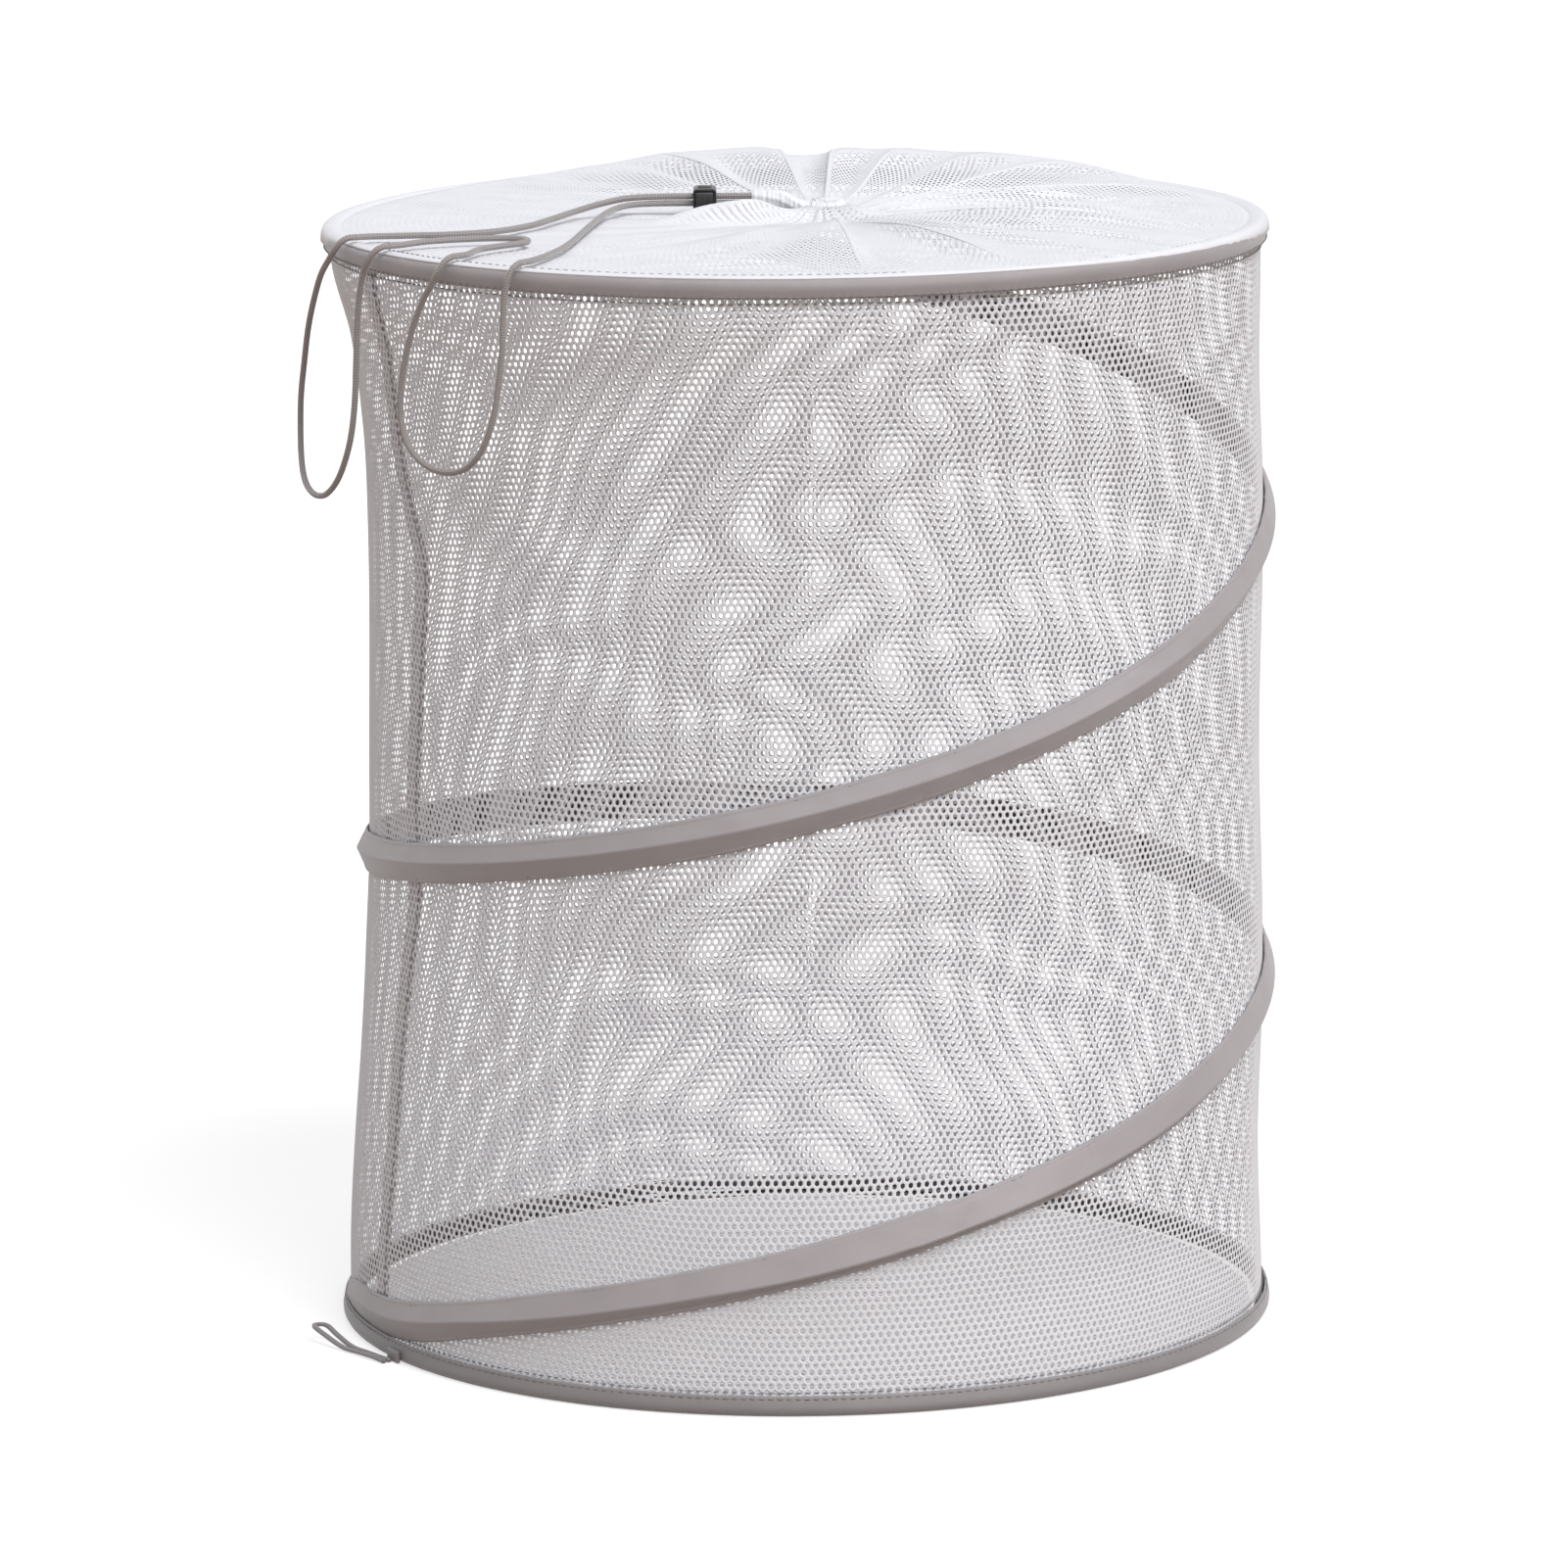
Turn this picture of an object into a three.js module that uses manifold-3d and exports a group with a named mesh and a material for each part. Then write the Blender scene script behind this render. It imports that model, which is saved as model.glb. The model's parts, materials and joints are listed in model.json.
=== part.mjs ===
// Pop up laundry hamper: a tube of white net held open by one spring wire, with a drawcord cover.
// Millimetres, +Z up, the front towards -Y, the origin on the floor under the middle.
// An azimuth is measured in degrees from the front towards +X.

import * as THREE from 'three';
import { mergeVertices } from 'three/addons/utils/BufferGeometryUtils.js';
import Module from 'manifold-3d';

const wasm = await Module();
wasm.setup();

// Driving dimensions of the whole hamper
const hamperHeight = 452;
const ringRadius = 188.6;
const fitGap = 0.3;
const aroundSteps = 48;

// The spring wire and its ferrules
const wireDiameter = 2.4;
const wireSides = 6;
const ferruleWall = 0.6;
const ferruleLength = 12;
const ferruleAzimuth = 153.75;

// Rim binding: grey tape folded round the ring, with two legs on the wall's edge
const bindingWall = 0.9;
const bindingLegHeight = 5.3;
const bindingLegWall = 1.2;
const bindingFlat = 1.5;

// Net of the wall, the base and the cover
const netThickness = 0.8;
const netColumns = 24;
const netRows = 10;
const netStrip = 8;
const deepestWaist = 1.6;
const waistShare = 0.012;
const baseThickness = 1;

// Spiral sleeve: the same tape over the wire, flat at its edges and raised in a ridge at the wire
const sleeveHalfHeight = 7.6;
const sleeveEdge = 0.7;
const sleeveRidge = 4;
const sleeveCrest = 1.4;

// Where the spiral runs: azimuth in degrees, percent of the climb from its lowest to its highest point
const spiralStart = -75;
const spiralEnd = 570;
const spiralStations = [
  [-55, 1], [-35, 4.2], [0, 10.7], [40, 19.3], [72, 26.7], [105, 32.7], [150, 36.7], [210, 39.4],
  [265, 42.2], [305, 45.6], [345, 51.1], [380, 58], [407, 64.5], [432, 71.4], [480, 82.7], [525, 92.2],
];

// The turns of the spiral are narrower than the rings and lie a little to the right of them.
// Stations: percent of the way up between the rims, share of the full narrowing and shift.
const turnsNarrower = 5.3;
const turnsShift = 6.2;
const turnsStations = [
  [0, 0], [8, 0.02], [17, 0.18], [25, 0.44], [33, 0.71], [42, 0.95], [52, 1], [75, 1], [83, 0.95],
  [92, 0.64], [100, 0],
];

// Side seam tape, inside the wall. Stations: percent of the way up between the rims, azimuth.
const seamTapeWidth = 10;
const seamTapeThickness = 0.8;
const seamStations = [
  [0, -66.5], [16, -65], [28, -64.8], [36, -63.2], [43, -61.6], [50, -62.4], [58, -61.5], [66, -60.6],
  [73, -59.8], [81, -64.5], [88, -65.5], [100, -64],
];

// Cover: net gathered to a point a little to the right of the middle. Its openings lie between rings,
// each a share of the way out from the gather.
const gatherX = 11;
const gatherY = 4;
const coverRings = [1, 0.965, 0.82, 0.775, 0.63, 0.585, 0.44, 0.395, 0.26, 0.15, 0.06];
const coverOpenRings = 4;
const coverPhase = 6;
const coverEdgeOverlap = 0.9;
const coverCrown = 1.6;
// Folds that run out from the gather: azimuth, height, half width in degrees, where the fold peaks
// as a share of the way to the rim
const coverFolds = [
  [-174, 6.5, 10, 0.72], [-159, 6, 10, 0.66], [-144, 4.5, 10, 0.6], [-115, 2.4, 10, 0.35],
  [-24, 1.6, 9, 0.3], [6, 4.4, 10, 0.38], [36, 3.2, 10, 0.35], [66, 3.6, 10, 0.4], [81, 4, 10, 0.42],
  [96, 4.2, 10, 0.45], [126, 4.8, 10, 0.5], [141, 5.2, 10, 0.55], [156, 6, 10, 0.62],
  [171, 7, 10, 0.7],
];
const gatherFlat = 0.06;

// Cover hem: the channel of the drawcord, drawn up to a small ring on the gather
const hemRingRadius = 7;
const hemTubeRadius = 3.1;
const hemBoreRadius = 1.7;
const hemOpening = 50;
const hemSteps = 18;

// Drawcord
const cordDiameter = 2.5;
const cordSides = 8;

// Cord lock: the cord runs along X, the plunger moves along Y
const lockX = -36.5;
const lockWidth = 9.4;
const lockBack = 7.5;
const lockFront = 7.3;
const lockWall = 0.9;
const lockBackWall = 1.2;
const lockCorner = 1.6;
const cordHoleLength = 6;
const plungerProud = 4.2;
const plungerWall = 0.9;
const plungerEndWall = 1.2;
const springWire = 0.7;

// Stow loop: a narrow strap on the floor beside the rim, and the tab that holds it
const tabAzimuth = -60;
const tabWidth = 9;
const tabThickness = 1.6;
const tabBottom = 0.4;
const tabHeight = 5;
const stowRootRadius = 2.4;
const stowEndRadius = 5.5;
const stowLength = 50;
const stowStrapWidth = 2;
const stowStrapThickness = 1.4;
const stowDirection = 127;

// Sizes that follow from those above
const wireRadius = wireDiameter / 2;
const ferruleRadius = wireRadius + fitGap + ferruleWall;
const channelHalf = ferruleRadius + fitGap;
const bindingHalf = channelHalf + bindingWall;
const bottomRingHeight = bindingHalf;
const topRingHeight = hamperHeight - netThickness - fitGap - bindingHalf;
const bottomLegTop = bottomRingHeight + bindingLegHeight;
const topLegBottom = topRingHeight - bindingLegHeight;
const wallOuterRadius = ringRadius + netThickness / 2;
const slotHalf = netThickness / 2 + fitGap;
const netCell = 360 / netColumns;
const stripHalfAngle = THREE.MathUtils.radToDeg(netStrip / 2 / wallOuterRadius);
const netSag = wallOuterRadius * (1 - Math.cos(Math.PI / netColumns));
const chordSag = ringRadius * (1 - Math.cos(Math.PI / aroundSteps));
const wallBottom = bottomRingHeight + channelHalf;
const wallTop = topRingHeight - channelHalf;
const freeLow = bottomLegTop + fitGap;
const freeHigh = topLegBottom - fitGap;
const spiralLow = freeLow + sleeveHalfHeight;
const spiralHigh = freeHigh - sleeveHalfHeight;
const baseRadius = ringRadius - bindingHalf - fitGap;
const coverEdgeRadius = ringRadius + coverEdgeOverlap;
const cordRadius = cordDiameter / 2;
const strandRise = cordDiameter + fitGap;
const cordHoleHeight = 2 * cordDiameter + 3 * fitGap;
const plungerHeight = cordHoleHeight + 2 * plungerWall;
const lockHeight = plungerHeight + 2 * fitGap + 2 * lockWall;
const lockZ = hamperHeight + coverCrown + fitGap + lockHeight / 2;
const bindingOuterRadius = ringRadius + bindingHalf;
const pivotRadius = bindingOuterRadius + fitGap + tabThickness + fitGap + stowRootRadius;
const hemZ = hamperHeight + fitGap + hemTubeRadius;

const radians = THREE.MathUtils.degToRad;

const part = new THREE.Group();

function place(name, geometry, look) {
  const material = new THREE.MeshStandardMaterial(look);
  const mesh = new THREE.Mesh(geometry, material);
  mesh.name = name;
  part.add(mesh);
  return mesh;
}

// Looks
const whiteNet = { color: 0xf4f4f6, roughness: 0.9, metalness: 0 };
const greyTape = { color: 0xa79f9d, roughness: 0.8, metalness: 0 };
const springSteel = { color: 0x8f9296, roughness: 0.35, metalness: 1 };
const crimpMetal = { color: 0xb9bbbd, roughness: 0.4, metalness: 1 };
const greyCord = { color: 0x99918e, roughness: 0.85, metalness: 0 };
const blackPlastic = { color: 0x131314, roughness: 0.45, metalness: 0 };

function between(low, high, percent) {
  return low + (high - low) * percent / 100;
}

// Point at an azimuth, a radius and a height
function around(azimuth, radius, height) {
  const angle = radians(azimuth);
  return new THREE.Vector3(radius * Math.sin(angle), -radius * Math.cos(angle), height);
}

// Turns the faces of a closed mesh outwards
function outward(geometry) {
  const index = Array.from(geometry.index.array);
  const position = geometry.attributes.position;
  const corners = [new THREE.Vector3(), new THREE.Vector3(), new THREE.Vector3()];
  let volume = 0;
  for (let i = 0; i < index.length; i += 3) {
    corners.forEach((corner, k) => corner.fromBufferAttribute(position, index[i + k]));
    volume += corners[0].dot(corners[1].clone().cross(corners[2]));
  }
  if (volume < 0) {
    for (let i = 0; i < index.length; i += 3) {
      [index[i], index[i + 1]] = [index[i + 1], index[i]];
    }
    geometry.setIndex(index);
  }
  return geometry;
}

function bareMesh(geometry) {
  const bare = geometry.clone();
  bare.deleteAttribute('normal');
  bare.deleteAttribute('uv');
  return outward(mergeVertices(bare, 1e-4));
}

function meshFrom(points, triangles) {
  const geometry = new THREE.BufferGeometry().setFromPoints(points);
  geometry.setIndex(triangles);
  return outward(geometry);
}

// Skin over rows of points. Rows close on themselves; the skin closes too, or gets flat ends.
function skin(rows, closed) {
  const count = rows[0].length;
  const triangles = [];
  const links = closed ? rows.length : rows.length - 1;
  for (let i = 0; i < links; i += 1) {
    const here = i * count;
    const next = ((i + 1) % rows.length) * count;
    for (let j = 0; j < count; j += 1) {
      const k = (j + 1) % count;
      triangles.push(here + j, next + j, next + k, here + j, next + k, here + k);
    }
  }
  return { points: rows.flat(), triangles };
}

function addEnds(body, outline, lastRow) {
  const clockwise = THREE.ShapeUtils.isClockWise(outline);
  for (const [a, b, c] of THREE.ShapeUtils.triangulateShape(outline, [])) {
    const [second, third] = clockwise ? [c, b] : [b, c];
    body.triangles.push(a, second, third);
    body.triangles.push(lastRow + a, lastRow + third, lastRow + second);
  }
}

// A ring of a section given as [radius, height]
function turned(section) {
  const profile = section.map(([radius, height]) => new THREE.Vector2(radius, height));
  profile.push(profile[0].clone());
  const lathe = new THREE.LatheGeometry(profile, aroundSteps);
  lathe.rotateX(Math.PI / 2);
  return bareMesh(lathe);
}

// Smooth curve through stations, level at both ends
function levelEnded(stations) {
  const slopes = stations.map((station, i) => {
    if (i === 0 || i === stations.length - 1) {
      return 0;
    }
    const [before, after] = [stations[i - 1], stations[i + 1]];
    return (after[1] - before[1]) / (after[0] - before[0]);
  });
  return (at) => {
    let i = stations.findIndex((station) => station[0] > at) - 1;
    if (i < 0) {
      i = at < stations[0][0] ? 0 : stations.length - 2;
    }
    const [x0, y0] = stations[i];
    const [x1, y1] = stations[i + 1];
    const span = x1 - x0;
    const t = THREE.MathUtils.clamp((at - x0) / span, 0, 1);
    const rise = t * t * (3 - 2 * t);
    const lead = t * (1 - t) * (1 - t) * span * slopes[i];
    const trail = t * t * (t - 1) * span * slopes[i + 1];
    return y0 + (y1 - y0) * rise + lead + trail;
  };
}

const spiralHeight = levelEnded([
  [spiralStart, spiralLow],
  ...spiralStations.map(([azimuth, percent]) => [azimuth, between(spiralLow, spiralHigh, percent)]),
  [spiralEnd, spiralHigh],
]);

// Heights of the net's rows between the rims: the edges of its openings, and an edge at each rim
const rowPitch = (freeHigh - freeLow) / netRows;
const netHeights = [freeLow];
for (let row = 0; row < netRows; row += 1) {
  const low = freeLow + row * rowPitch;
  netHeights.push(low + netStrip / 2, low + rowPitch - netStrip / 2);
}
netHeights.push(freeHigh);

// Share of the turns' narrowing at a height: straight between the rows of the net
const turnsShareAt = levelEnded(turnsStations);

function turnsShare(height) {
  const at = THREE.MathUtils.clamp(height, freeLow, freeHigh);
  const above = Math.max(1, netHeights.findIndex((level) => level >= at));
  const ends = [netHeights[above - 1], netHeights[above]];
  const [from, to] = ends.map((end) => turnsShareAt(100 * (end - freeLow) / (freeHigh - freeLow)));
  return from + (to - from) * (at - ends[0]) / (ends[1] - ends[0]);
}

// Point at a distance out from the wall's outer skin, before its waist
function onWall(azimuth, out, height) {
  const share = turnsShare(height);
  const point = around(azimuth, wallOuterRadius - turnsNarrower * share + out, height);
  point.x += turnsShift * share;
  return point;
}

// Heights at which something holds the wall out
function wallHolds(azimuth) {
  const holds = [[wallBottom, bottomLegTop]];
  for (let turn = azimuth - 720; turn <= spiralEnd; turn += 360) {
    if (turn >= spiralStart) {
      const middle = spiralHeight(turn);
      holds.push([middle - sleeveHalfHeight, middle + sleeveHalfHeight]);
    }
  }
  holds.push([topLegBottom, wallTop]);
  return holds;
}

// How far the net is drawn in between what holds it
function wallWaist(azimuth, height) {
  const holds = wallHolds(azimuth);
  for (let i = 0; i + 1 < holds.length; i += 1) {
    const low = holds[i][1];
    const high = holds[i + 1][0];
    if (height > low && height < high) {
      const deep = Math.min(deepestWaist, waistShare * (high - low));
      return deep * Math.sin(Math.PI * (height - low) / (high - low)) ** 2;
    }
  }
  return 0;
}

// Wire rings with their ferrules
function addRing(side, height) {
  const ring = new THREE.TorusGeometry(ringRadius, wireRadius, wireSides, aroundSteps);
  ring.rotateZ(-Math.PI / 2);
  const wire = place(`${side}_ring_wire`, bareMesh(ring), springSteel);
  wire.position.z = height;

  const outline = new THREE.Shape().absarc(0, 0, ferruleRadius, 0, 2 * Math.PI);
  outline.holes.push(new THREE.Path().absarc(0, 0, wireRadius + fitGap, 0, 2 * Math.PI));
  const barrel = new THREE.ExtrudeGeometry(outline, {
    depth: ferruleLength, bevelEnabled: false, curveSegments: 8,
  });
  barrel.translate(0, 0, -ferruleLength / 2);
  barrel.rotateX(Math.PI / 2);
  barrel.rotateZ(Math.PI / 2);
  const ferrule = place(`${side}_ring_ferrule`, bareMesh(barrel), crimpMetal);
  ferrule.position.copy(around(ferruleAzimuth, ringRadius - chordSag, height));
  ferrule.rotation.z = radians(ferruleAzimuth);
}

// Binding section: a channel for the ring, a slot for the wall's edge. up is 1 or -1.
function bindingSection(height, up) {
  const outerLeg = slotHalf + bindingLegWall;
  const channelCorner = channelHalf * Math.tan(Math.PI / 8);
  const half = [
    [bindingFlat, -bindingHalf], [bindingHalf, -bindingFlat], [bindingHalf, bindingFlat],
    [outerLeg, bindingLegHeight], [slotHalf, bindingLegHeight], [slotHalf, channelHalf],
    [channelHalf, channelCorner], [channelHalf, -channelCorner], [channelCorner, -channelHalf],
  ];
  const mirrored = half.map(([across, along]) => [-across, along]).reverse();
  return [...half, ...mirrored].map(([across, along]) => [ringRadius + across, height + up * along]);
}

// Point on the flat panels of the wall
function onPanel(azimuth, out, height) {
  const panel = 360 / aroundSteps;
  const before = Math.floor(azimuth / panel) * panel;
  const after = onWall(before + panel, out, height);
  return onWall(before, out, height).lerp(after, (azimuth - before) / panel);
}

// Edges of the strips that run up between the openings
function stripEdges(phase) {
  const edges = [];
  for (let column = 0; column < netColumns; column += 1) {
    const middle = phase + column * netCell;
    edges.push(middle - stripHalfAngle, middle + stripHalfAngle);
  }
  return edges;
}

// Net of two faces over rings of points, each given as [turn, outer point, inner point]. An open band
// has only its strips. The last ring closes at a tip, when there is one.
function netShell(rings, isOpen, tip) {
  const points = [];
  const triangles = [];
  const corner = ([turn, outer, inner]) => {
    points.push(outer, inner);
    return { turn, outer: points.length - 2, inner: points.length - 1 };
  };
  const rows = rings.map((ring) => {
    const row = ring.map(corner);
    return [...row, { ...row[0], turn: row[0].turn + 360 }];
  });
  const face = (a, b, c) => {
    triangles.push(a.outer, b.outer, c.outer, a.inner, c.inner, b.inner);
  };
  const edge = (a, b) => {
    triangles.push(b.outer, a.outer, a.inner, b.outer, a.inner, b.inner);
  };
  for (let band = 0; band + 1 < rows.length; band += 1) {
    const [low, high] = [rows[band], rows[band + 1]];
    if (isOpen(band)) {
      for (let i = 0; i + 2 < low.length; i += 2) {
        face(low[i], low[i + 1], high[i + 1]);
        face(low[i], high[i + 1], high[i]);
        edge(low[i + 1], high[i + 1]);
        edge(high[i], low[i]);
        edge(high[i + 1], high[i + 2]);
        edge(low[i + 2], low[i + 1]);
      }
    } else {
      let [i, j] = [0, 0];
      while (i + 1 < low.length || j + 1 < high.length) {
        const lowNext = i + 1 < low.length ? low[i + 1].turn : Infinity;
        const highNext = j + 1 < high.length ? high[j + 1].turn : Infinity;
        if (lowNext <= highNext) {
          face(low[i], low[i + 1], high[j]);
          i += 1;
        } else {
          face(low[i], high[j + 1], high[j]);
          j += 1;
        }
      }
    }
  }
  const [first, last] = [rows[0], rows[rows.length - 1]];
  for (let i = 0; i + 1 < first.length; i += 1) {
    edge(first[i], first[i + 1]);
  }
  const end = tip && corner(tip);
  for (let i = 0; i + 1 < last.length; i += 1) {
    if (end) {
      face(last[i], last[i + 1], end);
    } else {
      edge(last[i + 1], last[i]);
    }
  }
  return meshFrom(points, triangles);
}

// Wall of net: a plain grid of openings stands for its mesh
function wallShell() {
  const ring = (azimuths, height) => azimuths.map((azimuth) => {
    const waist = wallWaist(azimuth, height);
    const inner = onPanel(azimuth, -waist - netThickness, height);
    return [azimuth, onPanel(azimuth, -waist, height), inner];
  });
  const panels = Array.from({ length: aroundSteps }, (_, step) => step * 360 / aroundSteps);
  const strips = stripEdges(0);
  const rings = [
    ring(panels, wallBottom),
    ring(panels, freeLow),
    ...netHeights.slice(1, -1).map((height) => ring(strips, height)),
    ring(panels, freeHigh),
    ring(panels, wallTop),
  ];
  return netShell(rings, (band) => band > 0 && band % 2 === 0 && band <= 2 * netRows);
}

// Tape on the inside of the wall, over the seam
function seamTape() {
  const azimuthAt = levelEnded(seamStations);
  const halfAngle = THREE.MathUtils.radToDeg(seamTapeWidth / 2 / ringRadius);
  const rows = netHeights.map((height) => {
    const middle = azimuthAt(100 * (height - freeLow) / (freeHigh - freeLow));
    const face = -netThickness - netSag - fitGap - wallInsetAt(middle, height);
    return [
      onWall(middle - halfAngle, face, height),
      onWall(middle + halfAngle, face, height),
      onWall(middle + halfAngle, face - seamTapeThickness, height),
      onWall(middle - halfAngle, face - seamTapeThickness, height),
    ];
  });
  const outline = [[0, 0], [1, 0], [1, 1], [0, 1]].map(([x, y]) => new THREE.Vector2(x, y));
  const body = skin(rows, false);
  addEnds(body, outline, (rows.length - 1) * outline.length);
  return meshFrom(body.points, body.triangles);
}

// Deepest waist of the net's strips beside a point of one of its rows
function wallInsetAt(azimuth, height) {
  const before = Math.floor(azimuth / netCell) * netCell;
  const edges = [before, before + netCell].flatMap((middle) => [
    middle - stripHalfAngle, middle + stripHalfAngle,
  ]);
  return Math.max(...edges.map((edge) => wallWaist(edge, height)));
}

// A section of [out from the wall, up] points swept along the spiral
function alongSpiral(section) {
  const rows = [];
  const steps = Math.round((spiralEnd - spiralStart) * aroundSteps / 360);
  for (let step = 0; step <= steps; step += 1) {
    const azimuth = spiralStart + (spiralEnd - spiralStart) * step / steps;
    const height = spiralHeight(azimuth);
    rows.push(section.map(([out, up]) => onWall(azimuth, out, height + up)));
  }
  const outline = section.map(([out, up]) => new THREE.Vector2(out, up));
  const body = skin(rows, false);
  addEnds(body, outline, (rows.length - 1) * section.length);
  return meshFrom(body.points, body.triangles);
}

function sleeveSection() {
  const channel = wireRadius + fitGap;
  const channelTop = fitGap + 2 * wireRadius + fitGap;
  const half = [
    [fitGap, channel], [fitGap, sleeveHalfHeight], [fitGap + sleeveEdge, sleeveHalfHeight],
    [fitGap + sleeveRidge, sleeveCrest],
  ];
  const mirrored = half.map(([out, up]) => [out, -up]).reverse();
  return [...half, ...mirrored, [channelTop, -channel], [channelTop, channel]];
}

function wireSection() {
  const points = [];
  for (let side = 0; side < wireSides; side += 1) {
    const angle = 2 * Math.PI * side / wireSides;
    const out = fitGap + wireRadius + wireRadius * Math.cos(angle);
    points.push([out, wireRadius * Math.sin(angle)]);
  }
  return points;
}

// Height of the cover's upper face above the rim, at a share of the way from the gather to the rim
function coverRise(azimuth, share) {
  const crown = coverCrown * Math.sin(Math.PI * share) ** 2;
  const spread = Math.max(0, (share - gatherFlat) / (1 - gatherFlat));
  let fold = 0;
  for (const [middle, height, halfWidth, peak] of coverFolds) {
    const off = Math.abs(THREE.MathUtils.euclideanModulo(azimuth - middle + 180, 360) - 180);
    if (off < halfWidth) {
      const swell = Math.sin(Math.PI * spread ** (Math.log(0.5) / Math.log(peak))) ** 2;
      fold += height * swell * Math.cos(Math.PI / 2 * off / halfWidth) ** 2;
    }
  }
  return crown + fold;
}

// Point of the cover at a bearing from the gather and a share of the way from it to the rim
function coverPoint(bearing, share, drop) {
  const gather = new THREE.Vector3(gatherX, gatherY, 0);
  const way = around(bearing, 1, 0);
  const across = gather.dot(way);
  const reach = Math.sqrt(across ** 2 + coverEdgeRadius ** 2 - gather.lengthSq()) - across;
  const point = gather.addScaledVector(way, share * reach);
  point.z = hamperHeight + coverRise(bearing, share) - drop;
  return point;
}

// Cover: a plain grid of openings stands for its mesh, closed where it is gathered
function coverShell() {
  const bearings = stripEdges(coverPhase);
  const rings = coverRings.map((share) => bearings.map((bearing) => [
    bearing, coverPoint(bearing, share, 0), coverPoint(bearing, share, netThickness),
  ]));
  const tip = [
    0, new THREE.Vector3(gatherX, gatherY, hamperHeight),
    new THREE.Vector3(gatherX, gatherY, hamperHeight - netThickness),
  ];
  return netShell(rings, (band) => band % 2 === 1 && band < 2 * coverOpenRings, tip);
}

// A tube of round section along a path, with a bore when one is given
function tube(path, radius, steps, bore = 0) {
  const outline = new THREE.Shape(ringOfPoints(radius));
  if (bore > 0) {
    outline.holes.push(new THREE.Path(ringOfPoints(bore)));
  }
  const geometry = new THREE.ExtrudeGeometry(outline, {
    steps, bevelEnabled: false, extrudePath: path,
  });
  return bareMesh(geometry);
}

function ringOfPoints(radius) {
  const points = [];
  for (let side = 0; side < cordSides; side += 1) {
    const angle = 2 * Math.PI * side / cordSides;
    points.push(new THREE.Vector2(radius * Math.cos(angle), radius * Math.sin(angle)));
  }
  return points;
}

// Arc of the hem ring: from one side of its opening round to the other, the opening towards -X
class HemArc extends THREE.Curve {
  constructor(opening) {
    super();
    this.opening = opening;
  }

  getPoint(share, target = new THREE.Vector3()) {
    const angle = radians(180 + this.opening + share * (360 - 2 * this.opening));
    return target.set(
      gatherX + hemRingRadius * Math.cos(angle),
      gatherY + hemRingRadius * Math.sin(angle),
      hemZ,
    );
  }
}

// Drawcord routes
const upperStrandZ = lockZ + strandRise / 2;
const lowerStrandZ = lockZ - strandRise / 2;
const crossingRadius = 189;
const approachRadius = 184;
const hangRadius = 196.5;
const crossingZ = hamperHeight + 2.2;
const upperCrossing = -68;
const returnStart = -58;
const returnEnd = -44.5;
const lowerCrossing = -34;
const halfGap = fitGap / 2;
const hemExitX = gatherX - hemRingRadius * Math.cos(radians(hemOpening - 2));
const hemExitY = hemRingRadius * Math.sin(radians(hemOpening - 2));

const onCover = (x, y, lift) => new THREE.Vector3(x, y, hamperHeight + lift);
const atStrand = (x, z) => new THREE.Vector3(x, gatherY, z);
const insideCrossing = (azimuth) => around(azimuth, crossingRadius - halfGap, crossingZ);
const outsideCrossing = (azimuth) => around(azimuth, crossingRadius + halfGap, crossingZ);
const approach = (azimuth) => around(azimuth, approachRadius, crossingZ);
const hanging = (azimuth, drop, radius = hangRadius) => around(azimuth, radius, hamperHeight - drop);

const upperStrand = [
  new THREE.Vector3(hemExitX, gatherY + hemExitY, hemZ),
  onCover(3.8, 7.1, 3.9), onCover(0, 5.7, 5.1), onCover(-5, 4.5, 7.2),
  atStrand(-11, upperStrandZ - 0.1), atStrand(-17, upperStrandZ), atStrand(-37, upperStrandZ),
  atStrand(-57, upperStrandZ),
  onCover(-68, 2.5, 8), onCover(-78, -4, 6.8), onCover(-88, -17, 5.4), onCover(-97, -34, 4.4),
  onCover(-107, -52, 3.6), onCover(-121, -65, 3.1), onCover(-138, -69, 2.7),
  onCover(-153, -68.5, 2.4), approach(upperCrossing), insideCrossing(upperCrossing),
];
const leftLoop = [
  outsideCrossing(upperCrossing), hanging(-68, -2.1, 191.5), hanging(-68.2, -0.6, 194.3),
  hanging(-69, 3.2, 196.4), hanging(-71, 8, 197), hanging(-74, 14.5, 197.3),
  hanging(-77.5, 25, 197.8), hanging(-81.5, 39, 198.8), hanging(-84.5, 54, 200),
  hanging(-86.5, 69, 201.5), hanging(-87, 82, 202), hanging(-85.5, 92.5, 202),
  hanging(-82, 99.5, 201.8), hanging(-78, 102.8, 201.5), hanging(-74, 103.6, 201),
  hanging(-70.5, 101.5, 200.3), hanging(-67.3, 95, 199.4), hanging(-65, 86, 198.8),
  hanging(-63.4, 75, 198.2), hanging(-62.6, 62, 197.6), hanging(-62.4, 48, 197),
  hanging(-62.2, 34, 196.6), hanging(-61.5, 20), hanging(-60.3, 9.5),
  hanging(-59, 3.2, hangRadius - 0.2), hanging(-58.3, -0.6, 194.4), hanging(-58, -2.1, 191.5),
  outsideCrossing(returnStart),
];
const rimReturn = [
  insideCrossing(returnStart), approach(returnStart), onCover(-147, -91.5, 2.6),
  onCover(-136, -88, 2.9), onCover(-124.5, -86.5, 3.1), onCover(-114, -88, 3.3),
  onCover(-107, -93, 3.4), onCover(-105.5, -99.5, 3.3), onCover(-109.5, -105, 3.1),
  onCover(-116.5, -109.5, 2.8), onCover(-123.5, -117, 2.6), approach(returnEnd),
  insideCrossing(returnEnd),
];
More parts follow.
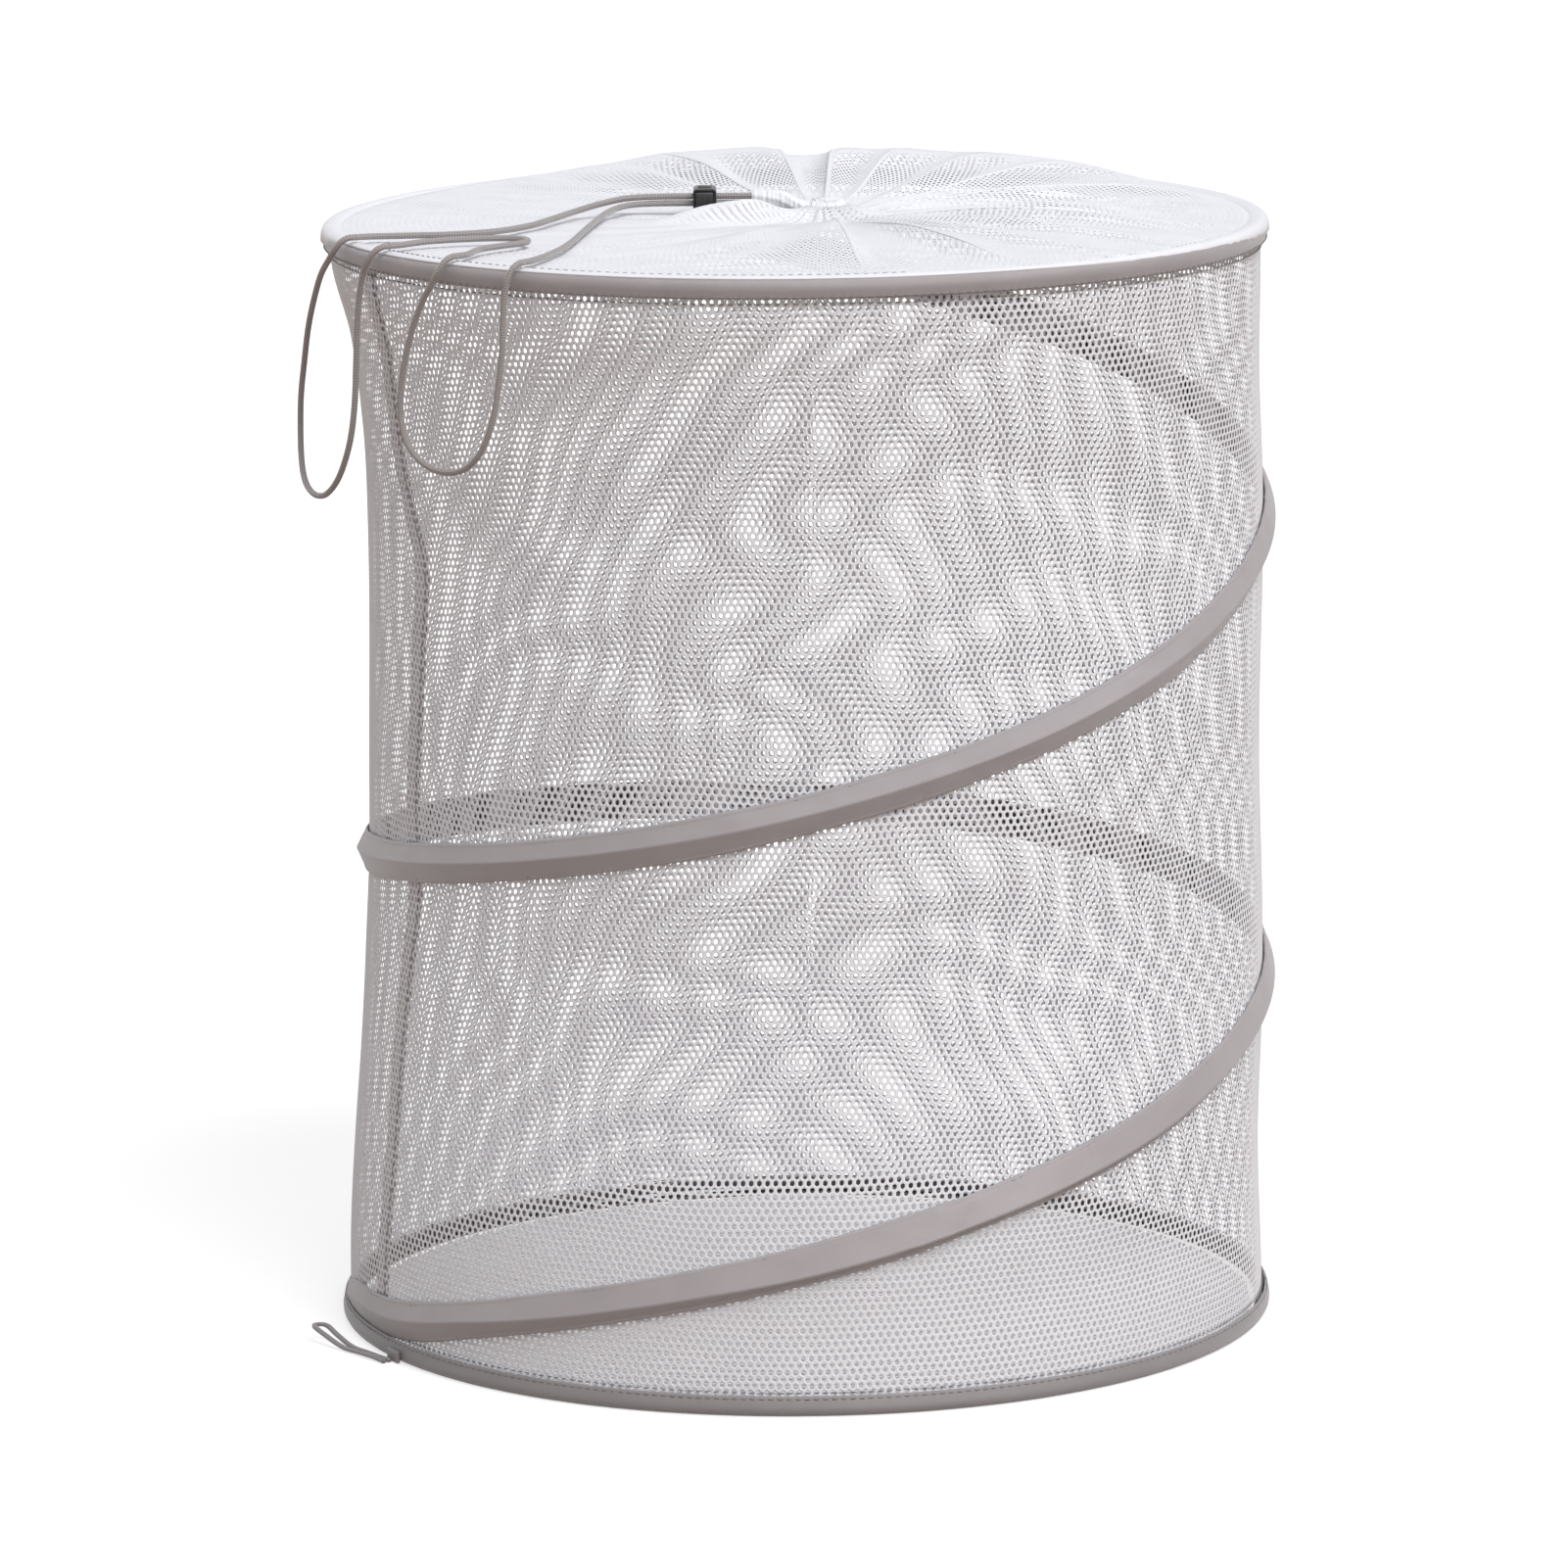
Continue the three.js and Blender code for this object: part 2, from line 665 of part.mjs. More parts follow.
const rightLoop = [
  outsideCrossing(returnEnd), hanging(-44.5, -2.1, 191.5), hanging(-44.7, -0.6, 194.4),
  hanging(-45.2, 3.2, hangRadius - 0.2),
  hanging(-46.2, 8), hanging(-47.6, 14), hanging(-49.1, 22), hanging(-50.5, 32),
  hanging(-51.7, 43), hanging(-52.4, 54), hanging(-52.4, 64), hanging(-51.5, 72),
  hanging(-49.6, 78), hanging(-47, 81.5), hanging(-44.2, 82.3), hanging(-41.5, 80),
  hanging(-39.4, 74.5), hanging(-37.8, 66), hanging(-36.7, 55), hanging(-36, 43),
  hanging(-35.5, 31), hanging(-35.3, 19), hanging(-35, 9),
  hanging(-34.6, 3.2, hangRadius - 0.2), hanging(-34.2, -0.6, 194.4), hanging(-34, -2.1, 191.5),
  outsideCrossing(lowerCrossing),
];
const lowerStrand = [
  new THREE.Vector3(hemExitX, gatherY - hemExitY, hemZ),
  onCover(3.8, 0.9, 3.5), onCover(0, 2.5, 3.8), onCover(-5, 3.6, 4.4),
  atStrand(-11, lowerStrandZ - 0.1), atStrand(-17, lowerStrandZ), atStrand(-37, lowerStrandZ),
  atStrand(-57, lowerStrandZ),
  onCover(-66, 1.5, 5.4), onCover(-72, -6, 5), onCover(-76, -18, 4.5), onCover(-79, -35, 4),
  onCover(-82, -55, 3.7), onCover(-85, -78, 3.4), onCover(-88, -100, 3), onCover(-92, -120, 2.6),
  onCover(-97, -138, 2.4), approach(lowerCrossing), insideCrossing(lowerCrossing),
];
const strandStep = 10;
const loopStep = 8.5;

function cord(name, points, step) {
  const path = new THREE.CatmullRomCurve3(points, false, 'centripetal');
  const steps = Math.round(path.getLength() / step);
  place(name, tube(path, cordRadius, steps), greyCord);
}

// Solids that are cut
function toSolid(geometry) {
  const bare = bareMesh(geometry);
  return new wasm.Manifold(new wasm.Mesh({
    numProp: 3,
    vertProperties: new Float32Array(bare.attributes.position.array),
    triVerts: new Uint32Array(bare.index.array),
  }));
}

function cutAway(geometry, ...tools) {
  let body = toSolid(geometry);
  for (const tool of tools) {
    body = body.subtract(toSolid(tool));
  }
  const { vertProperties, triVerts } = body.getMesh();
  const result = new THREE.BufferGeometry();
  result.setAttribute('position', new THREE.BufferAttribute(vertProperties, 3));
  result.setIndex(Array.from(triVerts));
  return result;
}

// Block between two places along Y, centred on X and Z
function block(width, height, front, back, corner = 0) {
  if (corner === 0) {
    const box = new THREE.BoxGeometry(width, back - front, height);
    return box.translate(0, (front + back) / 2, 0);
  }
  const [x, z] = [width / 2 - corner, height / 2 - corner];
  const outline = new THREE.Shape()
    .absarc(x, z, corner, 0, Math.PI / 2)
    .absarc(-x, z, corner, Math.PI / 2, Math.PI)
    .absarc(-x, -z, corner, Math.PI, 1.5 * Math.PI)
    .absarc(x, -z, corner, 1.5 * Math.PI, 2 * Math.PI);
  const bar = new THREE.ExtrudeGeometry(outline, {
    depth: back - front, bevelEnabled: false, curveSegments: 4,
  });
  return bar.rotateX(Math.PI / 2).translate(0, back, 0);
}

// Cord lock, about the point where the strands cross it
function addCordLock() {
  const plungerWidth = lockWidth - 2 * lockWall - 2 * fitGap;
  const cordEdge = cordRadius + fitGap;
  const boreBack = lockBack - lockBackWall;
  const plungerBack = cordEdge + plungerEndWall;
  const through = 2 * lockWidth;

  const bodyHole = block(through, cordHoleHeight, -cordEdge, cordHoleLength - cordEdge);
  const bore = block(plungerWidth + 2 * fitGap, plungerHeight + 2 * fitGap, -2 * lockFront, boreBack);
  const shell = block(lockWidth, lockHeight, -lockFront, lockBack, lockCorner);
  const plungerHole = block(through, cordHoleHeight, cordEdge - cordHoleLength, cordEdge);
  const stem = block(plungerWidth, plungerHeight, -lockFront - plungerProud, plungerBack);

  const springLength = boreBack - plungerBack - 2 * fitGap;
  const springOuter = plungerWidth / 2 - fitGap;
  const spring = turnedTube(springOuter, springOuter - springWire, springLength);
  spring.rotateX(Math.PI / 2);
  spring.translate(0, boreBack - fitGap, 0);

  const places = [
    ['cord_lock_body', cutAway(shell, bore, bodyHole), blackPlastic],
    ['cord_lock_plunger', cutAway(stem, plungerHole), blackPlastic],
    ['cord_lock_spring', spring, springSteel],
  ];
  for (const [name, geometry, look] of places) {
    place(name, geometry, look).position.set(lockX, gatherY, lockZ);
  }
}

// Short tube standing on Z = 0
function turnedTube(outer, inner, length) {
  const outline = new THREE.Shape().absarc(0, 0, outer, 0, 2 * Math.PI);
  outline.holes.push(new THREE.Path().absarc(0, 0, inner, 0, 2 * Math.PI));
  return bareMesh(new THREE.ExtrudeGeometry(outline, {
    depth: length, bevelEnabled: false, curveSegments: 6,
  }));
}

// Outline of a strap end: a small round at the root and a larger one at the far end
function teardrop(Kind, rootRadius, endRadius) {
  const reach = stowLength - stowEndRadius;
  const lean = Math.acos((rootRadius - endRadius) / reach);
  return new Kind()
    .absarc(reach, 0, endRadius, -lean, lean)
    .absarc(0, 0, rootRadius, lean, 2 * Math.PI - lean)
    .closePath();
}

function addStowLoop() {
  const outline = teardrop(THREE.Shape, stowRootRadius, stowEndRadius);
  const inner = stowRootRadius - stowStrapWidth;
  outline.holes.push(teardrop(THREE.Path, inner, stowEndRadius - stowStrapWidth));
  const strap = new THREE.ExtrudeGeometry(outline, {
    depth: stowStrapThickness, bevelEnabled: false, curveSegments: 8,
  });
  const loop = place('stow_loop', bareMesh(strap), greyTape);
  loop.position.copy(around(tabAzimuth, pivotRadius, tabBottom));
  loop.rotation.z = radians(stowDirection);

  const tab = new THREE.BoxGeometry(tabWidth, tabThickness, tabHeight);
  const tabMesh = place('stow_loop_tab', bareMesh(tab), greyTape);
  const tabRadius = bindingOuterRadius + fitGap + tabThickness / 2;
  tabMesh.position.copy(around(tabAzimuth, tabRadius, tabBottom + tabHeight / 2));
  tabMesh.rotation.z = radians(tabAzimuth);
}

addRing('bottom', bottomRingHeight);
place('bottom_rim_binding', turned(bindingSection(bottomRingHeight, 1)), greyTape);

const basePanel = new THREE.CylinderGeometry(baseRadius, baseRadius, baseThickness, aroundSteps);
basePanel.rotateX(Math.PI / 2);
place('base_panel', bareMesh(basePanel), whiteNet).position.z = baseThickness / 2;

place('wall_mesh', wallShell(), whiteNet);
place('side_seam_tape', seamTape(), greyTape);
place('spiral_wire', alongSpiral(wireSection()), springSteel);
place('spiral_sleeve', alongSpiral(sleeveSection()), greyTape);
addStowLoop();

addRing('top', topRingHeight);
place('top_rim_binding', turned(bindingSection(topRingHeight, -1)), greyTape);
place('top_cover', coverShell(), whiteNet);
place('cover_hem', tube(new HemArc(hemOpening), hemTubeRadius, hemSteps, hemBoreRadius), whiteNet);
place('drawcord_in_hem', tube(new HemArc(hemOpening), cordRadius, hemSteps), greyCord);
cord('drawcord_upper_strand', upperStrand, strandStep);
cord('drawcord_left_loop', leftLoop, loopStep);
cord('drawcord_rim_return', rimReturn, strandStep);
cord('drawcord_right_loop', rightLoop, loopStep);
cord('drawcord_lower_strand', lowerStrand, strandStep);
addCordLock();

export default part;
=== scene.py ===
"""Pop up laundry hamper: white hexagon net on a spring wire spiral in grey tape, with a drawcord cover.

Laid out as an add-on and run as a script. Metres, +Z up, the front towards -Y. An azimuth is measured
in degrees from the front towards +X.
"""

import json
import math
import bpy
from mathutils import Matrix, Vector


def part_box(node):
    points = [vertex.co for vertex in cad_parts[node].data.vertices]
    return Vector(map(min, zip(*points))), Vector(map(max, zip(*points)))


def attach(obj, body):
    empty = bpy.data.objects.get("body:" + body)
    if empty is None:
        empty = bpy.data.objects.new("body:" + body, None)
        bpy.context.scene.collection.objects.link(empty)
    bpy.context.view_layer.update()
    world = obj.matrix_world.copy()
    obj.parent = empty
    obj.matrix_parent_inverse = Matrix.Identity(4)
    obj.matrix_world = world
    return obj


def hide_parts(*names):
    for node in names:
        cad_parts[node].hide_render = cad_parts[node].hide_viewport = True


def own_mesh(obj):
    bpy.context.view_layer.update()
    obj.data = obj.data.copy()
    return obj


bl_info = {
    "name": "Pop Up Laundry Hamper",
    "version": (1, 0, 0),
    "blender": (4, 5, 0),
    "location": "View3D > Sidebar > Hamper",
    "description": "Net hamper on a spring wire spiral, dressed piece by piece around its frame",
    "category": "Add Mesh",
}

from contextlib import contextmanager

import bmesh
import bpy
import numpy as np
from mathutils import Matrix, Vector

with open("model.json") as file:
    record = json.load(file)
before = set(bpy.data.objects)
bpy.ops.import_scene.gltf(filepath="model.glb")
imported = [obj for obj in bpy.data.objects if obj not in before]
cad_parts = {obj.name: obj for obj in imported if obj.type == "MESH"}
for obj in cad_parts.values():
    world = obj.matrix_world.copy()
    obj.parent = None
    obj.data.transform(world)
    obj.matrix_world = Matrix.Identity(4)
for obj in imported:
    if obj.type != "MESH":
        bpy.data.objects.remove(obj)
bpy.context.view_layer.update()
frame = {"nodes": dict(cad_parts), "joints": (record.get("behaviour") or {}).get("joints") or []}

MM = 0.001

# Sizes of the wire and the net, and those that are read from the frame
WIRE_RADIUS = 1.2 * MM
WIRE_GAP = 0.3 * MM
NET_HALF = 0.4 * MM
RING_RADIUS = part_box("top_ring_wire")[1].x - WIRE_RADIUS
LOW_RING_Z = sum(corner.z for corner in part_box("bottom_ring_wire")) / 2
HIGH_RING_Z = sum(corner.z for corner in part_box("top_ring_wire")) / 2
LOW_LEG_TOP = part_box("bottom_rim_binding")[1].z
HIGH_LEG_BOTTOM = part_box("top_rim_binding")[0].z
NET_LOW = LOW_LEG_TOP - 2 * MM
NET_HIGH = HIGH_LEG_BOTTOM + 2 * MM
WALL_RADIUS = -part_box("wall_mesh")[0].y
BASE_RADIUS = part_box("base_panel")[1].x
HAMPER_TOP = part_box("top_rim_binding")[1].z + 1.1 * MM
SLEEVE_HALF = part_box("spiral_wire")[0].z + WIRE_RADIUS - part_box("spiral_sleeve")[0].z
FREE_LOW = LOW_LEG_TOP + WIRE_GAP
FREE_HIGH = HIGH_LEG_BOTTOM - WIRE_GAP
SPIRAL_LOW = FREE_LOW + SLEEVE_HALF
SPIRAL_HIGH = FREE_HIGH - SLEEVE_HALF
LOCK_LOW, LOCK_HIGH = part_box("cord_lock_body")
LOCK_MIDDLE = (LOCK_LOW.z + LOCK_HIGH.z) / 2
JOINTS = {joint["name"]: joint for joint in frame["joints"]}

# The wall's form, as in the frame. The stations of the turns and of the seam begin with percent of the
# height, those of the spiral with its azimuth, which runs on past a full turn
DEEPEST_WAIST = 1.6 * MM
WAIST_SHARE = 0.012
TURNS_NARROWER = 5.3 * MM
TURNS_SHIFT = 6.2 * MM
TURNS_STATIONS = [
    (0, 0), (8, 0.02), (17, 0.18), (25, 0.44), (33, 0.71), (42, 0.95), (52, 1), (75, 1), (83, 0.95),
    (92, 0.64), (100, 0),
]
SPIRAL_START, SPIRAL_END = -75, 570
SPIRAL_STATIONS = [
    (-55, 1), (-35, 4.2), (0, 10.7), (40, 19.3), (72, 26.7), (105, 32.7), (150, 36.7), (210, 39.4),
    (265, 42.2), (305, 45.6), (345, 51.1), (380, 58), (407, 64.5), (432, 71.4), (480, 82.7), (525, 92.2),
]
SEAM_STATIONS = [
    (0, -66.5), (16, -65), (28, -64.8), (36, -63.2), (43, -61.6), (50, -62.4), (58, -61.5), (66, -60.6),
    (73, -59.8), (81, -64.5), (88, -65.5), (100, -64),
]

# The sleeve runs on past the spiral into both rims, and is tucked behind the bottom rim's tape
SLEEVE_START, SLEEVE_END = -98, 594
TUCK_DEPTH = 2 * MM

# Where the ridge of the sleeve lies: azimuth, millimetres up from the wire
RIDGE_STATIONS = [
    (SLEEVE_START, 0), (-50, 0), (-35, -1.5), (-12, -2.6), (0, -3.8), (45, -3.8), (80, -2), (150, 0),
    (400, 0), (430, -1), (450, -1), (490, 0), (SLEEVE_END, 0),
]

# A splice in the sleeve: one length of tape ends on the next
SPLICE_AZIMUTH = 14
SPLICE_LENGTH = 15.6 * MM
SPLICE_STEP = 0.65 * MM

# How far the cover's edge is folded down over the top rim's tape, from 0 to 1, by azimuth
LIP_STATIONS = [
    (-180, 1), (-105, 1), (-80, 0.9), (-70, 0), (25, 0), (50, 0.3), (80, 0.8), (105, 1), (180, 1),
]

# The gather: its place, how far the cover is drawn up there, and as shares of the way to the rim, where
# the cover ends and where its folds begin
GATHER = Vector((11 * MM, 4 * MM, HAMPER_TOP))
PINCH = 5.2 * MM
GATHER_HOLE = 0.035
GATHER_FLAT = 0.06

# Folds of the cover: bearing from the gather, height in millimetres, half width in degrees to its
# left and to its right, and where it peaks as a share of the way to the rim
COVER_EDGE_RADIUS = RING_RADIUS - 1.0 * MM
COVER_CROWN = 1.6 * MM
COVER_FOLDS = [
    (-173, 4.5, 4, 11, 0.6), (-156, 3.8, 6, 10, 0.55), (-145, 3, 5, 11, 0.5), (-128, 2.6, 8, 10, 0.5),
    (-116, 2, 8, 10, 0.35), (-20, 2, 14, 12, 0.4), (5, 6, 30, 3.2, 0.42), (26, 3.5, 7, 4, 0.45),
    (42, 3, 8, 5, 0.35), (57, 3.4, 8, 5, 0.4), (74, 4, 10, 5, 0.42), (92, 3.4, 10, 6, 0.45),
    (116, 4.4, 12, 6, 0.45), (138, 3.4, 11, 7, 0.5), (153, 3.4, 9, 6, 0.55), (167, 4.2, 9, 5, 0.6),
    (178, 4.5, 6, 3.5, 0.6),
]

# Bearings of the folds along which the net lies double
CRESTS = [-173, -156, 5, 26, 74, 116, 138, 167, 178]

# How far the cover swells up towards the back, in millimetres, by bearing, and the recess in it
SWELL_STATIONS = [
    (90, 0), (115, 2.3), (128, 4.8), (140, 7.6), (150, 8.7), (165, 8.9), (190, 9.6), (200, 9.3),
    (208, 6.9), (215, 5.1), (225, 3.6), (240, 2.3), (260, 0.8), (280, 0),
]
RECESS_BEARING = 182.3
RECESS_HALF_WIDTH = 4.6
RECESS_SHARE = 0.32

# Ridge of the cover beside the cord lock: its height, its bearing, how far it turns forwards next to
# the gather, and its widths in degrees to its left and to its right
LOCK_RIDGE = 7.5 * MM
LOCK_RIDGE_BEARING = -70
LOCK_RIDGE_TURN = 9
LOCK_RIDGE_SIDES = 5, 14

# Drawcord routes: lifts and radii in millimetres, crossings of the rim and the hem's opening in degrees
CROSSING_LIFT = 2.2
CROSSING_RADIUS = 189
APPROACH_RADIUS = 184
HANG_RADIUS = 196.5
UPPER_CROSSING, RETURN_START, RETURN_END, LOWER_CROSSING = -68, -58, -44.5, -34
HEM_RADIUS = 7
HEM_OPENING = 50
HEM_LIFT = 3.4


def length_property(name, description, default, low, high):
    """Property for a length, whose default and limits are given in millimetres."""
    return bpy.props.FloatProperty(name=name, description=description, default=default * MM,
                                   min=low * MM, max=high * MM, precision=5, unit="LENGTH")


def angle_property(name, description, default, low, high):
    """Property for an angle, whose default and limits are given in degrees."""
    default, low, high = (math.radians(value) for value in (default, low, high))
    return bpy.props.FloatProperty(name=name, description=description, default=default,
                                   min=low, max=high, subtype="ANGLE")


def number_property(name, description, default, low, high, **kind):
    return bpy.props.FloatProperty(name=name, description=description, default=default,
                                   min=low, max=high, **kind)


def color_property(name, description, default):
    return bpy.props.FloatVectorProperty(name=name, description=description, subtype="COLOR", size=3,
                                         default=default, min=0, max=1)


class NetSettings(bpy.types.PropertyGroup):
    """Sizes and colour of the hexagon net"""

    cell_width: length_property(
        "Cell width", "From one hole's middle to the next, round the hamper", 3.25, 1, 20)
    row_pitch: length_property("Row pitch", "From one row of holes to the next", 2.8, 1, 20)
    hole_share: number_property(
        "Hole share", "Width of a hole as a share of its cell", 0.54, 0.1, 0.9, subtype="FACTOR")
    hole_stretch: number_property(
        "Hole stretch", "How much taller than wide a hole is, over its cell", 1.24, 0.5, 2)
    thread_relief: length_property(
        "Thread relief", "How far a thread's middle stands over its edges", 0.3, 0, 2)
    color: color_property("Net colour", "Colour of the net's yarn", (0.79, 0.79, 0.82))


class TapeSettings(bpy.types.PropertyGroup):
    """Sizes and colours of the grey tape and its stitches"""

    thickness: length_property("Tape thickness", "Thickness of the folded tape", 0.55, 0.1, 3)
    rib_pitch: length_property("Rib pitch", "From one rib of the weave to the next", 0.55, 0.1, 5)
    color: color_property("Tape colour", "Colour of the woven tape", (0.36, 0.325, 0.332))
    stitch_pitch: length_property("Stitch pitch", "From one stitch to the next", 3.6, 1, 20)
    stitch_length: length_property("Stitch length", "Length of one stitch", 2.4, 0.5, 20)
    thread_radius: length_property("Thread radius", "Radius of the sewing thread", 0.33, 0.05, 2)
    # The thread's dark grey is partly painted shade, standing in for the small dips that the stitches pull in
    thread_color_and_shade: color_property("Thread colour", "Colour of the sewing thread", (0.22, 0.2, 0.2))


class CordSettings(bpy.types.PropertyGroup):
    """Sizes and colour of the drawcord"""

    diameter: length_property("Cord diameter", "Diameter of the round drawcord", 2.5, 1, 10)
    braid_pitch: length_property(
        "Braid pitch", "Length of one crossing of the braid along the cord", 2.2, 0.5, 20)
    color: color_property("Cord colour", "Colour of the drawcord", (0.33, 0.3, 0.29))


class LockSettings(bpy.types.PropertyGroup):
    """Finish of the cord lock"""

    edge_round: length_property("Edge round", "Radius of the moulded edges", 0.35, 0, 2)
    color: color_property("Plastic colour", "Colour of the moulded plastic", (0.012, 0.012, 0.013))


class StageSettings(bpy.types.PropertyGroup):
    """Camera, lights and floor"""

    camera_distance: number_property(
        "Camera distance", "From the hamper's axis to the camera, along the floor", 3.489, 0.5, 20,
        unit="LENGTH")
    camera_height: number_property(
        "Camera height", "Height of the camera over the floor", 0.871, 0, 10, unit="LENGTH")
    camera_pitch: angle_property("Camera pitch", "How far the camera looks down", 10.6, -90, 90)
    camera_roll: angle_property("Camera roll", "How far the camera leans to its right", 0.63, -90, 90)
    focal_length: number_property(
        "Focal length", "Focal length on a 36 mm sensor, in millimetres", 198.5, 10, 1000)
    sun_strength: number_property(
        "Sun strength", "Strength of the broad light from the upper right", 2.5, 0, 20)
    sun_angle: angle_property("Sun angle", "How broad the light from the upper right is", 35, 0, 180)
    sky_strength: number_property(
        "Sky strength", "Strength of the even light from all round", 0.5, 0, 5)
    floor_glow: number_property(
        "Floor glow", "How much the floor is brightened where it is seen", 0.7, 0, 2)


# Smooth rules of form

def level_ended(stations):
    """Smooth curve through stations, level at both ends."""
    at, value = np.array(stations, float).T
    slope = np.zeros(len(at))
    slope[1:-1] = (value[2:] - value[:-2]) / (at[2:] - at[:-2])

    def curve(where):
        where = np.clip(where, at[0], at[-1])
        i = np.clip(np.searchsorted(at, where, side="right") - 1, 0, len(at) - 2)
        span = at[i + 1] - at[i]
        t = (where - at[i]) / span
        rise = t * t * (3 - 2 * t)
        lead = t * (1 - t) ** 2 * span * slope[i]
        trail = t * t * (t - 1) * span * slope[i + 1]
        return value[i] + (value[i + 1] - value[i]) * rise + lead + trail

    return curve


def smooth_step(low, high, value):
    t = np.clip((value - low) / (high - low), 0, 1)
    return t * t * (3 - 2 * t)


def around(azimuth, radius, height):
    """Points at azimuths in degrees, radii and heights."""
    angle = np.radians(azimuth)
    return np.stack(np.broadcast_arrays(radius * np.sin(angle), -radius * np.cos(angle), height), axis=-1)


def ripple(along, seed, periods, size):
    """A quiet wave without a pattern: sines of the given periods, each with its own start."""
    starts = np.random.default_rng(seed).uniform(0, 2 * math.pi, len(periods))
    waves = [np.sin(2 * math.pi * along / period + start) for period, start in zip(periods, starts)]
    return size * sum(waves) / len(periods)


turns_share = level_ended(TURNS_STATIONS)
spiral_climb = level_ended([(SPIRAL_START, 0), *SPIRAL_STATIONS, (SPIRAL_END, 100)])
seam_azimuth = level_ended(SEAM_STATIONS)
back_swell = level_ended(SWELL_STATIONS)


def spiral_height(azimuth):
    return SPIRAL_LOW + (SPIRAL_HIGH - SPIRAL_LOW) * spiral_climb(azimuth) / 100


def sharp_waist(azimuth, height):
    """How far the net is drawn in between the rims and the turns of the spiral."""
    below = np.full(height.shape, LOW_LEG_TOP)
    above = np.full(height.shape, HIGH_LEG_BOTTOM)
    held = (height <= LOW_LEG_TOP) | (height >= HIGH_LEG_BOTTOM)
    for turn in range(-1, 3):
        angle = azimuth + 360 * turn
        there = (angle >= SPIRAL_START) & (angle <= SPIRAL_END)
        middle = spiral_height(angle)
        low, high = middle - SLEEVE_HALF, middle + SLEEVE_HALF
        held |= there & (height > low) & (height < high)
        below = np.where(there & (high <= height), np.maximum(below, high), below)
        above = np.where(there & (low >= height), np.minimum(above, low), above)
    span = np.maximum(above - below, MM)
    deep = np.minimum(DEEPEST_WAIST, WAIST_SHARE * span)
    return np.where(held, 0, deep * np.sin(math.pi * np.clip((height - below) / span, 0, 1)) ** 2)


def on_wall(azimuth, out, height):
    """Points out from the net's outer skin. The turns are narrower than the rims and lie to their right."""
    share = turns_share(100 * (height - FREE_LOW) / (FREE_HIGH - FREE_LOW))
    point = around(azimuth, WALL_RADIUS - TURNS_NARROWER * share + out, height)
    point[..., 0] += TURNS_SHIFT * share
    return point


def on_net(azimuth, out, height):
    """Points out from the middle of the net, with the step where the spiral begins and ends smoothed."""
    turned = (azimuth + 180) % 360 - 180
    waist = sum(sharp_waist(turned + spread, height) for spread in (-8, -4, 0, 4, 8)) / 5
    return on_wall(azimuth, out - NET_HALF - waist, height)


def fold_rise(bearing, share):
    """Height of the folds, each of which swells to its peak on the way from the gather to the rim."""
    rise = 0
    spread = np.clip((share - GATHER_FLAT) / (1 - GATHER_FLAT), 0, 1)
    for middle, height, left, right, peak in COVER_FOLDS:
        off = (bearing - middle + 180) % 360 - 180
        reach = np.clip(np.abs(off) / np.where(off > 0, right, left), 0, 1)
        crest = 0.4 * np.cos(math.pi / 2 * reach) ** 2 + 0.6 * (1 - reach) ** 1.6
        swell = np.sin(math.pi * spread ** (math.log(0.5) / math.log(peak))) ** 2
        rise = rise + height * MM * swell * crest
    return rise


def back_rise(bearing, share):
    """Height of the swelling at the back, with a recess in it."""
    bearing = bearing % 360
    recess = RECESS_SHARE * np.exp(-((bearing - RECESS_BEARING) / RECESS_HALF_WIDTH) ** 4)
    swell = smooth_step(0.35, 0.86, share) * smooth_step(1, 0.9, share)
    return MM * back_swell(bearing) * swell * (1 - recess)


def lock_ridge_rise(bearing, share):
    """Height of the ridge beside the cord lock."""
    nearer = smooth_step(0.26, 0.18, share)
    ridge = LOCK_RIDGE_BEARING + LOCK_RIDGE_TURN * nearer
    beside = np.exp(-((bearing - ridge) / np.where(bearing < ridge, *LOCK_RIDGE_SIDES)) ** 2)
    ends = smooth_step(0.06, 0.16, share) * smooth_step(0.4, 0.2, share)
    return LOCK_RIDGE * beside * (1 + 0.22 * nearer) * ends


def gather_rise(bearing, share):
    """Height of the net drawn up at the gather, less where the strands leave it, and of its pleats."""
    drawn_up = 1 - 0.75 * np.exp(-((bearing + 90) / 24) ** 2)
    pleats = np.exp(-((share - 0.12) / 0.07) ** 2) * smooth_step(0.045, 0.09, share)
    return (PINCH * drawn_up * smooth_step(0.14, 0.045, share)
            + pleats * ripple(bearing, 5, (360 / 29, 360 / 41, 360 / 17), 0.9 * MM))


def cover_rise(bearing, share):
    """Height of the cover over the rim, at a bearing from the gather and a share of the way to the rim."""
    crown = COVER_CROWN * np.sin(math.pi * share) ** 2
    slack = smooth_step(0.1, 0.35, share) * smooth_step(1, 0.8, share)
    waves = slack * ripple(bearing + 40 * share, 9, (360 / 11, 360 / 19, 360 / 31), 0.4 * MM)
    return crown + waves + sum(
        rise(bearing, share) for rise in (fold_rise, back_rise, lock_ridge_rise, gather_rise))


def cover_surface(turn, out):
    """Points of the cover: turn is a share of the way round, out is 0 at the rim and 1 at the gather."""
    azimuth = 360 * turn
    share = 1 - (1 - GATHER_HOLE) * out
    rim = around(azimuth, COVER_EDGE_RADIUS, 0)
    gather = np.array((GATHER.x, GATHER.y, 0))
    point = gather + (rim - gather) * share[..., None]
    bearing = np.degrees(np.arctan2(rim[..., 0] - gather[0], gather[1] - rim[..., 1]))
    tuck = 0.9 * MM * smooth_step(0.965, 1, share)
    point[..., 2] = HAMPER_TOP - NET_HALF + cover_rise(bearing, share) - tuck
    return point


# Mesh helpers

def linked(name, data):
    """New object of some data, in the scene."""
    obj = bpy.data.objects.new(name, data)
    bpy.context.scene.collection.objects.link(obj)
    return obj


